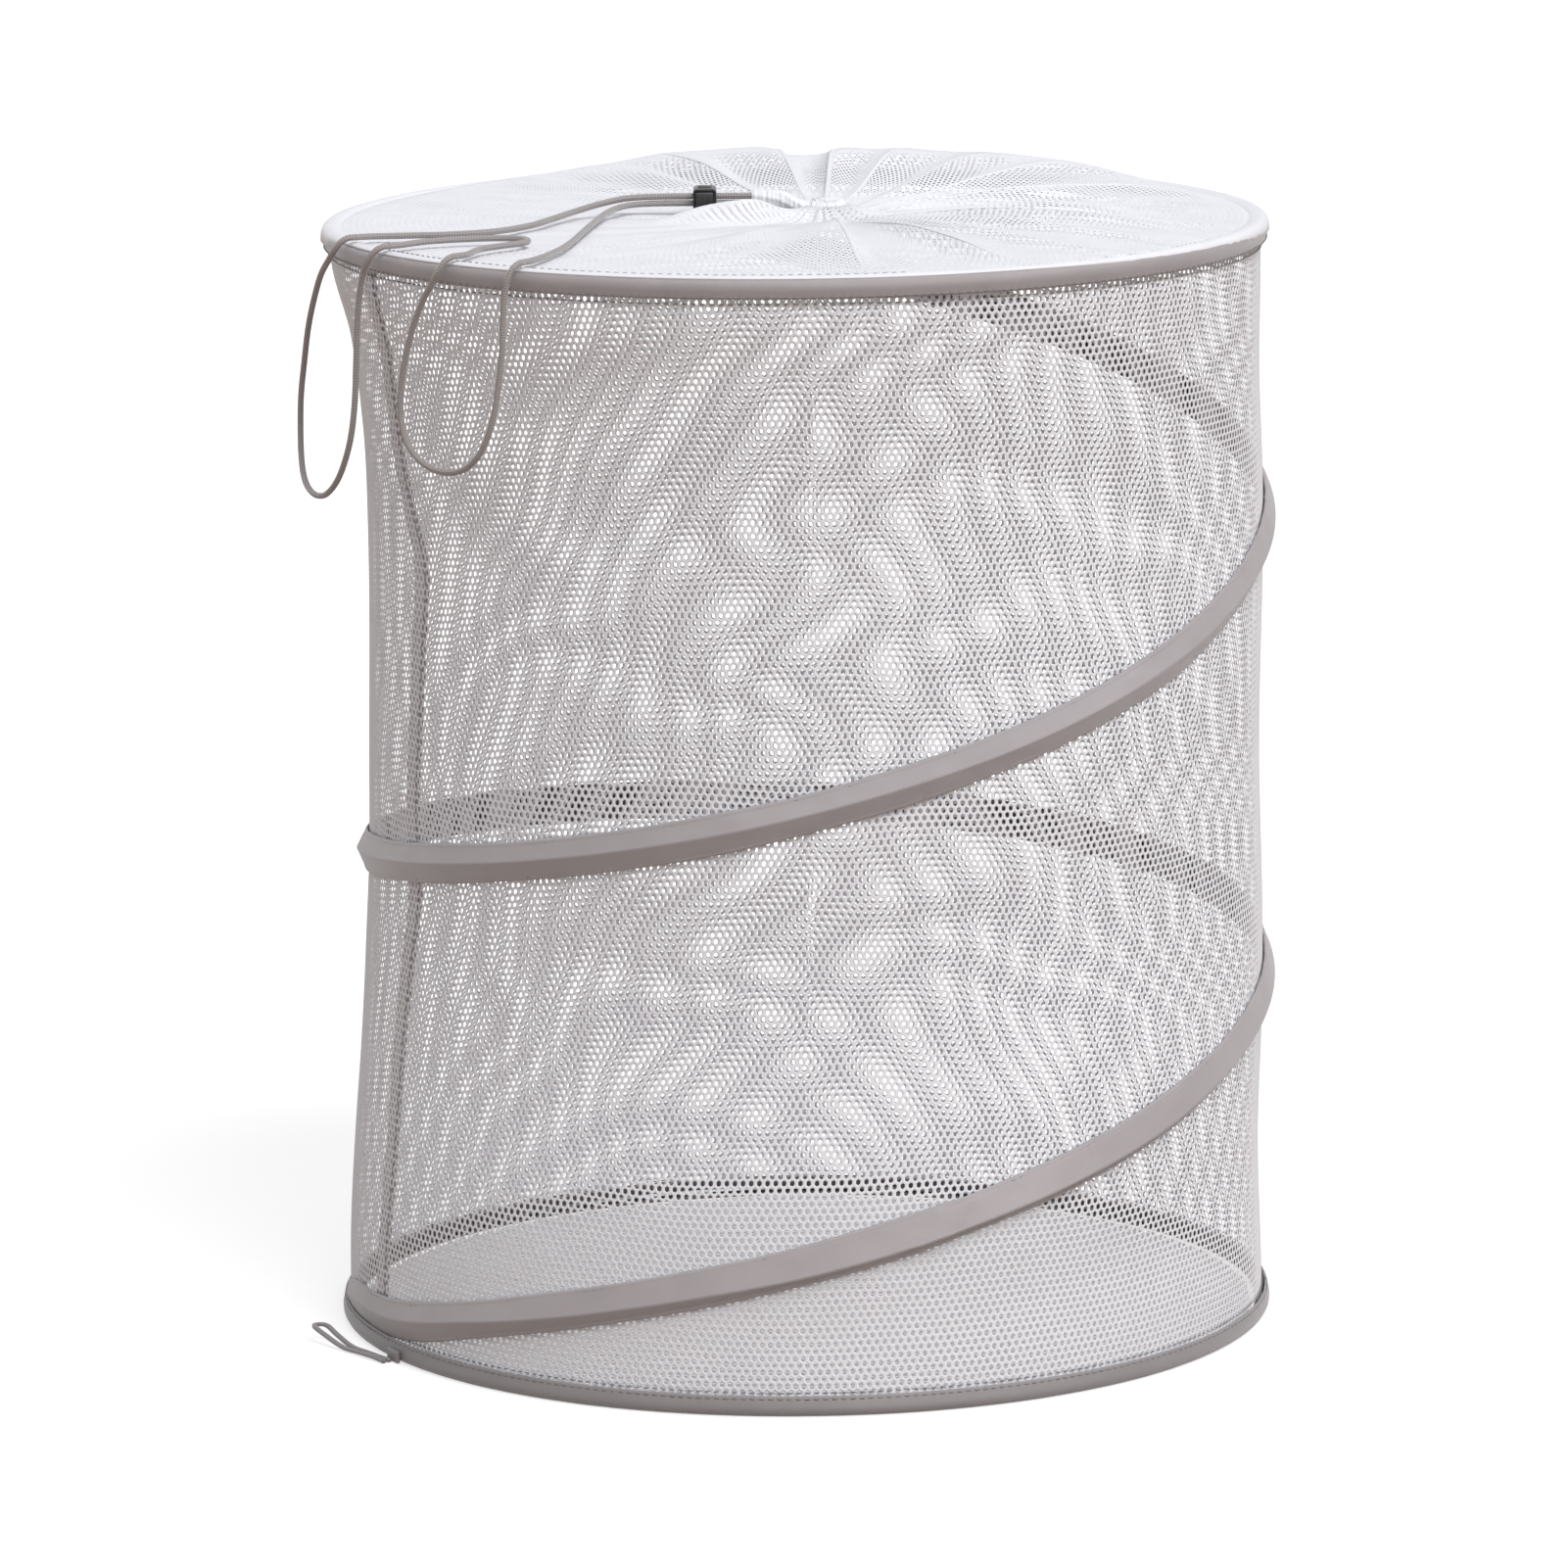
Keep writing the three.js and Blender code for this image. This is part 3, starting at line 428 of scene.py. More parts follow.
@contextmanager
def edited(mesh):
    """A mesh as a bmesh, written back to it at the end."""
    work = bmesh.new()
    work.from_mesh(mesh)
    yield work
    work.to_mesh(mesh)
    work.free()


def applied(obj):
    """Leaves what an object's modifiers make of it as its plain mesh."""
    graph = bpy.context.evaluated_depsgraph_get()
    mesh = bpy.data.meshes.new_from_object(obj.evaluated_get(graph), depsgraph=graph)
    obj.modifiers.clear()
    obj.data = mesh
    return obj


def set_smooth(mesh, smooth=True):
    mesh.polygons.foreach_set("use_smooth", np.full(len(mesh.polygons), smooth))


def mesh_object(name, points, faces, corner_uv=None, smooth=True):
    """Object of points and faces that all have as many corners, with a UV for each corner."""
    points, faces = np.asarray(points, np.float32), np.asarray(faces, np.int32)
    mesh = bpy.data.meshes.new(name)
    mesh.vertices.add(len(points))
    mesh.vertices.foreach_set("co", points.ravel())
    mesh.loops.add(faces.size)
    mesh.loops.foreach_set("vertex_index", faces.ravel())
    mesh.polygons.add(len(faces))
    mesh.polygons.foreach_set("loop_start", np.arange(len(faces), dtype=np.int32) * faces.shape[1])
    if corner_uv is not None:
        mesh.uv_layers.new(name="UVMap").data.foreach_set("uv", np.asarray(corner_uv, np.float32).ravel())
    mesh.update(calc_edges=True)
    mesh.validate()
    set_smooth(mesh, smooth)
    return linked(name, mesh)


def enclosed(points, faces):
    """Six times the volume inside quads, negative where they face inwards."""
    a, b, c, d = (points[faces[:, k]] for k in range(4))
    return np.sum(a * np.cross(b, c)) + np.sum(a * np.cross(c, d))


def skin(name, grid, along, across, close_along=False):
    """Closed tube or ring over rows of points. along and across are the UV of rows and columns, in metres,
    with one more value in the direction that closes."""
    rows, columns = grid.shape[:2]
    points = grid.reshape(-1, 3)
    links = rows if close_along else rows - 1
    i, j = (index.ravel() for index in np.meshgrid(np.arange(links), np.arange(columns), indexing="ij"))
    corners = [(i, j), (i + 1, j), (i + 1, j + 1), (i, j + 1)]
    faces = np.stack([(row % rows) * columns + column % columns for row, column in corners], axis=1)
    uv = np.stack([np.stack([along[row], across[column]], 1) for row, column in corners], axis=1)
    if enclosed(points - points.mean(axis=0), faces) < 0:
        faces, uv = faces[:, ::-1], uv[:, ::-1]
    obj = mesh_object(name, points, faces, uv)
    if not close_along:
        close_ends(obj)
    return obj


def close_ends(obj):
    """Flat caps on the open ends of a tube."""
    with edited(obj.data) as work:
        rim = [edge for edge in work.edges if edge.is_boundary]
        bmesh.ops.holes_fill(work, edges=rim, sides=0)
        bmesh.ops.recalc_face_normals(work, faces=work.faces)


def girth_angles(sides):
    return 2 * math.pi * np.arange(sides) / sides


def tube(name, grid, along, radius):
    """Closed tube over rows of points, its UV across measured on a circle of a radius."""
    return skin(name, grid, along, np.append(girth_angles(grid.shape[1]), 2 * math.pi) * radius)


def swept(name, path, sideways, upwards, wide, tall, radius):
    """Tube along a path, its points set out along two vectors across the path."""
    grid = path[:, None] + wide[..., None] * sideways[:, None] + tall[..., None] * upwards[:, None]
    return tube(name, grid, lengths_along(path), radius)


def headings(path):
    """Unit vectors along a path, one at each point."""
    run = np.gradient(path, axis=0)
    return run / np.linalg.norm(run, axis=1)[:, None]


def lengths_along(path, power=1):
    """How far along a path each point is, with each step raised to a power."""
    return np.concatenate([[0], np.cumsum(np.linalg.norm(np.diff(path, axis=0), axis=1) ** power)])


def section_lengths(section):
    """How far along a closed section each point is, ending with the full way round."""
    return lengths_along(np.vstack([section, section[:1]]))


def folded(path, thickness):
    """Closed section of a folded tape: its outer line, and back along a line inside it."""
    path = np.array(path, float)
    run = headings(path)
    inner = path + np.stack([run[:, 1], -run[:, 0]], axis=1) * thickness
    return np.concatenate([path, inner[::-1]])


def blend(first, last, start, end, at):
    """A value between two, on the straight line from the first at the start to the last at the end."""
    return ((end - at) * first + (at - start) * last) / (end - start)


def smooth_path(points, step):
    """Centripetal curve through chosen points, as evenly spaced points about a step apart."""
    points = np.array(points, float)
    points = np.vstack([2 * points[0] - points[1], points, 2 * points[-1] - points[-2]])
    spans = len(points) - 3
    found = []
    for i in range(spans):
        near = points[i:i + 4]
        knots = lengths_along(near, 0.5)
        at = np.linspace(knots[1], knots[2], 24, endpoint=i == spans - 1)[:, None]
        lines = [blend(near[k], near[k + 1], knots[k], knots[k + 1], at) for k in range(3)]
        bends = [blend(lines[k], lines[k + 1], knots[k], knots[k + 2], at) for k in range(2)]
        found.append(blend(*bends, knots[1], knots[2], at))
    fine = np.vstack(found)
    length = lengths_along(fine)
    even = np.linspace(0, length[-1], max(2, round(length[-1] / step)) + 1)
    return np.stack([np.interp(even, length, fine[:, k]) for k in range(3)], axis=1)


def path_frames(path):
    """Two unit vectors across the path at each point, carried along it without twist."""
    run = headings(path)
    side = np.cross(run[0], (0, 0, 1) if abs(run[0][2]) < 0.9 else (1, 0, 0))
    sides = []
    for direction in run:
        side = side - direction * np.dot(side, direction)
        side /= np.linalg.norm(side)
        sides.append(side)
    sides = np.array(sides)
    return sides, np.cross(run, sides)


def joined(name, objects):
    """One object of several, the others removed."""
    work = bmesh.new()
    for obj in objects:
        work.from_mesh(obj.data)
    mesh = bpy.data.meshes.new(name)
    work.to_mesh(mesh)
    work.free()
    for obj in objects:
        bpy.data.objects.remove(obj)
    return linked(name, mesh)


# Node tree helpers

def add_node(tree, kind, inputs=None, **settings):
    """A node with its settings, its inputs by name or number given as values or as sockets to link."""
    node = tree.nodes.new(kind)
    for name, value in settings.items():
        setattr(node, name, value)
    for key, value in (inputs or {}).items():
        socket = node.inputs[key]
        if isinstance(value, bpy.types.NodeSocket):
            tree.links.new(value, socket)
        else:
            socket.default_value = value
    return node


def calculated(tree, operation, *values):
    return add_node(tree, "ShaderNodeMath", dict(enumerate(values)), operation=operation).outputs[0]


def mapped(tree, value, given, wanted):
    """A value carried from one range of numbers over to another."""
    return add_node(tree, "ShaderNodeMapRange", {
        "Value": value, "From Min": given[0], "From Max": given[1],
        "To Min": wanted[0], "To Max": wanted[1]}).outputs[0]


def mixed(tree, factor, first, last):
    """A colour between two."""
    return add_node(tree, "ShaderNodeMix", {0: factor, 6: (*first, 1), 7: (*last, 1)},
                    data_type="RGBA").outputs[2]


def noise(tree, place, scale, detail=2):
    return add_node(tree, "ShaderNodeTexNoise",
                    {"Vector": place, "Scale": scale, "Detail": detail}).outputs[0]


def coordinates(tree):
    return tree.nodes.new("ShaderNodeTexCoord").outputs


def parts_of(tree, vector):
    return add_node(tree, "ShaderNodeSeparateXYZ", {0: vector}).outputs


def new_tree(name, numbers):
    """Geometry tree with a mesh input, number inputs as (name, default) and a material input."""
    tree = bpy.data.node_groups.new(name, "GeometryNodeTree")
    sockets = tree.interface
    sockets.new_socket("Geometry", in_out="INPUT", socket_type="NodeSocketGeometry")
    for label, default in numbers:
        number = sockets.new_socket(label, in_out="INPUT", socket_type="NodeSocketFloat")
        number.default_value = default
    sockets.new_socket("Material", in_out="INPUT", socket_type="NodeSocketMaterial")
    sockets.new_socket("Geometry", in_out="OUTPUT", socket_type="NodeSocketGeometry")
    return tree, tree.nodes.new("NodeGroupInput").outputs


def end_tree(tree, geometry, material):
    """Realize Instances and Set Material, as the last nodes before the output."""
    real = add_node(tree, "GeometryNodeRealizeInstances", {"Geometry": geometry})
    smooth = add_node(tree, "GeometryNodeSetShadeSmooth", {"Geometry": real.outputs[0]})
    coated = add_node(tree, "GeometryNodeSetMaterial",
                      {"Geometry": smooth.outputs[0], "Material": material})
    tree.links.new(coated.outputs[0], tree.nodes.new("NodeGroupOutput").inputs[0])
    return tree


def hexagon_net_tree():
    """Turns a lattice of triangles into a net: a cell round each point, a hole in each cell."""
    tree, given = new_tree("Hexagon net", [("Hole stretch", 1.24), ("Thread relief", 0.3 * MM)])
    cells = add_node(tree, "GeometryNodeDualMesh", {"Mesh": given["Geometry"]})
    share = add_node(tree, "GeometryNodeInputNamedAttribute", {"Name": "hole_share"}, data_type="FLOAT")
    inset = add_node(tree, "GeometryNodeExtrudeMesh",
                     {"Mesh": cells.outputs[0], "Offset Scale": 0.0, "Individual": True}, mode="FACES")
    hole = inset.outputs["Top"]
    shrink = add_node(tree, "GeometryNodeScaleElements", {
        "Geometry": inset.outputs["Mesh"], "Selection": hole,
        "Scale": share.outputs["Attribute"]}, domain="FACE", scale_mode="UNIFORM")
    stretch = add_node(tree, "GeometryNodeScaleElements", {
        "Geometry": shrink.outputs[0], "Selection": hole,
        "Scale": given["Hole stretch"], "Axis": (0.0, 0.0, 1.0)}, domain="FACE", scale_mode="SINGLE_AXIS")
    down = calculated(tree, "MULTIPLY", given["Thread relief"], -1)
    normal = tree.nodes.new("GeometryNodeInputNormal")
    sink = add_node(tree, "ShaderNodeVectorMath", {0: normal.outputs[0], "Scale": down}, operation="SCALE")
    sunk = add_node(tree, "GeometryNodeSetPosition", {
        "Geometry": stretch.outputs[0], "Selection": hole, "Offset": sink.outputs[0]})
    opened = add_node(tree, "GeometryNodeDeleteGeometry", {
        "Geometry": sunk.outputs[0], "Selection": hole}, domain="FACE", mode="ALL")
    return end_tree(tree, opened.outputs[0], given["Material"])


def stitch_tree():
    """Sets stitches along the edges of a line mesh."""
    tree, given = new_tree("Stitches", [
        ("Stitch pitch", 3.6 * MM), ("Stitch length", 2.4 * MM), ("Thread radius", 0.3 * MM)])
    line = add_node(tree, "GeometryNodeMeshToCurve", {"Mesh": given["Geometry"]})
    even = add_node(tree, "GeometryNodeResampleCurve",
                    {"Curve": line.outputs[0], "Length": given["Stitch pitch"]}, mode="LENGTH")
    ball = add_node(tree, "GeometryNodeMeshUVSphere", {"Segments": 6, "Rings": 4, "Radius": 1.0})
    size = add_node(tree, "ShaderNodeCombineXYZ", {
        "X": given["Thread radius"], "Y": given["Thread radius"],
        "Z": calculated(tree, "MULTIPLY", given["Stitch length"], 0.5)})
    shaped = add_node(tree, "GeometryNodeTransform",
                      {"Geometry": ball.outputs["Mesh"], "Scale": size.outputs[0]})
    tangent = tree.nodes.new("GeometryNodeInputTangent")
    turn = add_node(tree, "FunctionNodeAlignRotationToVector", {"Vector": tangent.outputs[0]}, axis="Z")
    placed = add_node(tree, "GeometryNodeInstanceOnPoints", {
        "Points": even.outputs[0], "Instance": shaped.outputs[0], "Rotation": turn.outputs[0]})
    return end_tree(tree, placed.outputs[0], given["Material"])


def grow(obj, tree, values):
    """Runs a tree on obj with values by input name, and leaves the result as its plain mesh."""
    modifier = obj.modifiers.new("Grow", "NODES")
    modifier.node_group = tree
    for item in tree.interface.items_tree:
        if item.in_out == "INPUT" and item.name in values:
            modifier[item.identifier] = values[item.name]
    return applied(obj)


# Materials

def new_material(name, color, roughness, sheen=(0, 0.5)):
    """Material with its colour, its roughness and its sheen's weight and roughness, with its tree and its
    Principled shader."""
    material = bpy.data.materials.new(name)
    material.use_nodes = True
    shader = material.node_tree.nodes["Principled BSDF"]
    shader.inputs["Base Color"].default_value = (*color, 1)
    shader.inputs["Roughness"].default_value = roughness
    shader.inputs["Sheen Weight"].default_value, shader.inputs["Sheen Roughness"].default_value = sheen
    return material, material.node_tree, shader


def shade(color, factor):
    return tuple(min(1, channel * factor) for channel in color)


def mottled(tree, shader, place, color, scale, dark, light):
    """Colour that drifts over the surface between two shades of itself."""
    drift = mixed(tree, noise(tree, place, scale, 3), shade(color, dark), shade(color, light))
    tree.links.new(drift, shader.inputs["Base Color"])
    return drift


def raised(tree, shader, height, distance, strength):
    bump = add_node(tree, "ShaderNodeBump", {"Height": height, "Distance": distance, "Strength": strength})
    tree.links.new(bump.outputs[0], shader.inputs["Normal"])


def rib_wave(tree, value, pitch):
    """Sine of a length, between -1 and 1, once per pitch."""
    return calculated(tree, "SINE", calculated(tree, "MULTIPLY", value, 2 * math.pi / pitch))


def grained(name, color, roughness, drift, grain, gloss=None, sheen=(0, 0.5)):
    """Material whose colour drifts between two shades of itself, with a fine grain in its relief and, where
    gloss gives two roughnesses, in its gloss. Drift is the scale and the two shades; grain is the scale,
    the detail, the depth in millimetres and the strength."""
    material, tree, shader = new_material(name, color, roughness, sheen)
    place = coordinates(tree)["Object"]
    mottled(tree, shader, place, color, *drift)
    scale, detail, depth, strength = grain
    pattern = noise(tree, place, scale, detail)
    raised(tree, shader, pattern, depth * MM, strength)
    if gloss:
        tree.links.new(mapped(tree, pattern, (0, 1), gloss), shader.inputs["Roughness"])
    return material


def net_material(name):
    """White polyester yarn: fine twist, a soft sheen and a slight drift in its white."""
    color = bpy.context.scene.hamper_net.color
    return grained(name, color, 0.62, (55, 0.94, 1.05), (2600, 2, 0.12, 0.6), sheen=(0.25, 0.4))


def thread_material(name):
    """Twisted sewing thread, its dark grey partly painted shade of the dips that the stitches pull in."""
    color = bpy.context.scene.hamper_tape.thread_color_and_shade
    return grained(name, color, 0.6, (900, 0.8, 1.2), (4000, 2, 0.08, 0.5))


def plastic_material(name):
    """Moulded black plastic: a fine spark eroded grain and slightly worn gloss."""
    color = bpy.context.scene.hamper_lock.color
    return grained(name, color, 0.36, (300, 1, 2.2), (5200, 3, 0.04, 0.5), gloss=(0.26, 0.5))


def steel_material(name, color, roughness):
    """Drawn steel: fine scratches in its gloss."""
    gloss = roughness - 0.1, roughness + 0.15
    material = grained(name, color, roughness, (120, 0.85, 1.1), (1800, 6, 0.03, 0.4), gloss)
    material.node_tree.nodes["Principled BSDF"].inputs["Metallic"].default_value = 1
    return material


def tape_material(name):
    """Woven grey tape: ribs across it, a finer warp along it, satin sheen, uneven dye and painted shade low
    down.
    """
    settings = bpy.context.scene.hamper_tape
    material, tree, shader = new_material(name, settings.color, 0.42, sheen=(0.35, 0.45))
    shader.inputs["Specular IOR Level"].default_value = 0.75
    where = coordinates(tree)
    lengths = parts_of(tree, where["UV"])
    ribs = rib_wave(tree, lengths["X"], settings.rib_pitch)
    warp = rib_wave(tree, lengths["Y"], settings.rib_pitch * 0.8)
    weave = calculated(tree, "MULTIPLY", ribs, warp)
    dye = mottled(tree, shader, where["Object"], settings.color, 38, 0.88, 1.1)
    threads = mapped(tree, weave, (-1, 1), (0.82, 1.08))
    # Painted shade: the tape darkens towards the floor, to two thirds of its colour from 16 mm down to 6 mm
    painted_floor_shade = mapped(tree, parts_of(tree, where["Object"])["Z"], (6 * MM, 16 * MM), (0.66, 1))
    depth = calculated(tree, "MULTIPLY", threads, painted_floor_shade)
    toned = add_node(tree, "ShaderNodeVectorMath", {0: dye, "Scale": depth}, operation="SCALE")
    tree.links.new(toned.outputs[0], shader.inputs["Base Color"])
    raised(tree, shader, weave, 0.06 * MM, 0.7)
    return material


def braid_material(name):
    """Braided cord: the strands cross as diamonds, with painted shade in the valleys between them."""
    settings = bpy.context.scene.hamper_cord
    material, tree, shader = new_material(name, settings.color, 0.7, sheen=(1, 0.35))
    lengths = parts_of(tree, coordinates(tree)["UV"])
    girth = math.pi * settings.diameter / 4
    stretched = calculated(tree, "MULTIPLY", lengths["Y"], settings.braid_pitch / girth)
    waves = [rib_wave(tree, calculated(tree, way, lengths["X"], stretched), settings.braid_pitch)
             for way in ("ADD", "SUBTRACT")]
    braid = calculated(tree, "MULTIPLY", *waves)
    # Painted shade and light: darker in the valleys between the strands, lighter on their crests
    painted_braid_shading = mapped(tree, braid, (-1, 1), (0, 1))
    tree.links.new(mixed(tree, painted_braid_shading, shade(settings.color, 0.72), shade(settings.color, 1.16)),
                   shader.inputs["Base Color"])
    raised(tree, shader, braid, 0.12 * MM, 0.8)
    return material


FINISHES = {
    "white net yarn": net_material,
    "grey woven tape": tape_material,
    "grey braided cord": braid_material,
    "grey sewing thread": thread_material,
    "black moulded plastic": plastic_material,
    "drawn spring steel": lambda name: steel_material(name, (0.28, 0.29, 0.3), 0.32),
    "crimped ferrule": lambda name: steel_material(name, (0.5, 0.5, 0.51), 0.4),
}


def finish(name):
    """The material of that name, which is made when it is first asked for."""
    return bpy.data.materials.get(name) or FINISHES[name](name)


def dressed(obj, coat, body, nodes=()):
    """Gives a finished piece its material by name, unless it has one, and its body, and hides the frame's
    nodes that it stands for."""
    if coat:
        obj.data.materials.clear()
        obj.data.materials.append(finish(coat))
    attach(obj, body)
    if nodes:
        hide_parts(*nodes)
    return obj


def collapsing(obj):
    """Gives a piece of the wall its own copy of its mesh."""
    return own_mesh(obj)


class Making:
    """What all the operators share"""

    bl_options = {"REGISTER", "UNDO"}


# Net

def lattice(name, columns, first, last, rows, surface, shares):
    """Lattice of triangles over a surface, every second row moved on by half a column. It has one more
    column and row on each side than the cells that it becomes. shares gives the hole in each cell."""
    column, row = np.meshgrid(np.arange(first - 1, last + 2), np.arange(rows + 1))
    turn = (column + 0.5 * (row % 2)) / columns
    up = row / rows
    points = surface(turn, up)
    wide = column.shape[1]
    index = row * wide + (column - first + 1)
    here, right = index[:-1, :-1], index[:-1, 1:]
    above, above_right = index[1:, :-1], index[1:, 1:]
    even = (row[:-1, :-1] % 2 == 0)[..., None]
    one = np.where(even, np.stack([here, right, above], -1), np.stack([here, above_right, above], -1))
    two = np.where(even, np.stack([right, above_right, above], -1),
                   np.stack([here, right, above_right], -1))
    faces = np.concatenate([one.reshape(-1, 3), two.reshape(-1, 3)])
    obj = mesh_object(name, points.reshape(-1, 3), faces)
    attribute = obj.data.attributes.new("hole_share", "FLOAT", "POINT")
    attribute.data.foreach_set("value", shares(turn, up).astype(np.float32).ravel())
    return obj


def net_pieces(name, columns, count, rows, surface, shares, stretch=1):
    """A net over a surface in several pieces side by side, because one mesh would be too large."""
    tree = bpy.data.node_groups.get("Hexagon net") or hexagon_net_tree()
    values = {"Hole stretch": stretch, "Thread relief": bpy.context.scene.hamper_net.thread_relief,
              "Material": finish("white net yarn")}
    edges = [round(columns * k / count) for k in range(count + 1)]
    return [grow(lattice(f"{name}_{k + 1}", columns, edges[k], edges[k + 1] - 1, rows, surface, shares),
                 tree, values) for k in range(count)]


class HAMPER_OT_wall_net(Making, bpy.types.Operator):
    """Make the wall: one tube of hexagon net, drawn in a little between the turns of the spiral"""

    bl_idname = "hamper.wall_net"
    bl_label = "Wall net"

    def execute(self, context):
        settings = context.scene.hamper_net
        tall = NET_HIGH - NET_LOW
        columns = round(2 * math.pi * WALL_RADIUS / settings.cell_width)
        rows = round(tall / settings.row_pitch)

        def surface(turn, up):
            azimuth = 360 * turn - 180
            free = np.sin(math.pi * up) ** 0.5
            sway = ripple(azimuth + 90 * up, 21, (24, 40, 72), 1.5 * MM)
            height = NET_LOW + tall * up + sway * free
            pulled = ripple(height + 0.7 * MM * azimuth, 22, (0.061, 0.094, 0.14), 0.4)
            return on_net(azimuth + pulled * free, 0, height)

        def shares(turn, up):
            worn = ripple(turn * 360, 31, (24, 40, 90), 0.02) + ripple(up, 32, (0.11, 0.23), 0.02)
            return settings.hole_share + worn

        pieces = net_pieces("wall_net", columns, 4, rows, surface, shares, settings.hole_stretch)
        for k, piece in enumerate(pieces):
            dressed(piece, None, "base", ["wall_mesh"] if k == 0 else ())
            collapsing(piece)
        return {"FINISHED"}


class HAMPER_OT_base_net(Making, bpy.types.Operator):
    """Make the base: a disc of the same net, sewn into the bottom rim"""

    bl_idname = "hamper.base_net"
    bl_label = "Base net"

    def execute(self, context):
        settings = context.scene.hamper_net
        reach = BASE_RADIUS + 0.5 * MM
        columns = round(2 * reach / settings.cell_width)
        rows = round(2 * reach / settings.row_pitch)

        def surface(turn, up):
            across = (2 * turn - 1) * reach
            deep = (2 * up - 1) * reach
            sag = 0.25 * MM * (1 + ripple(across, 41, (0.05, 0.09), 1) * ripple(deep, 42, (0.06, 0.1), 1))
            return np.stack([across, deep, 0.45 * MM + sag], axis=-1)

        def shares(turn, up):
            return np.full(turn.shape, settings.hole_share)

        piece = net_pieces("base_net", columns, 1, rows, surface, shares)[0]
        with edited(piece.data) as work:
            outside = [face for face in work.faces if max(v.co.xy.length for v in face.verts) > reach]
            bmesh.ops.delete(work, geom=outside, context="FACES")
        dressed(piece, None, "base", ["base_panel"])
        return {"FINISHED"}


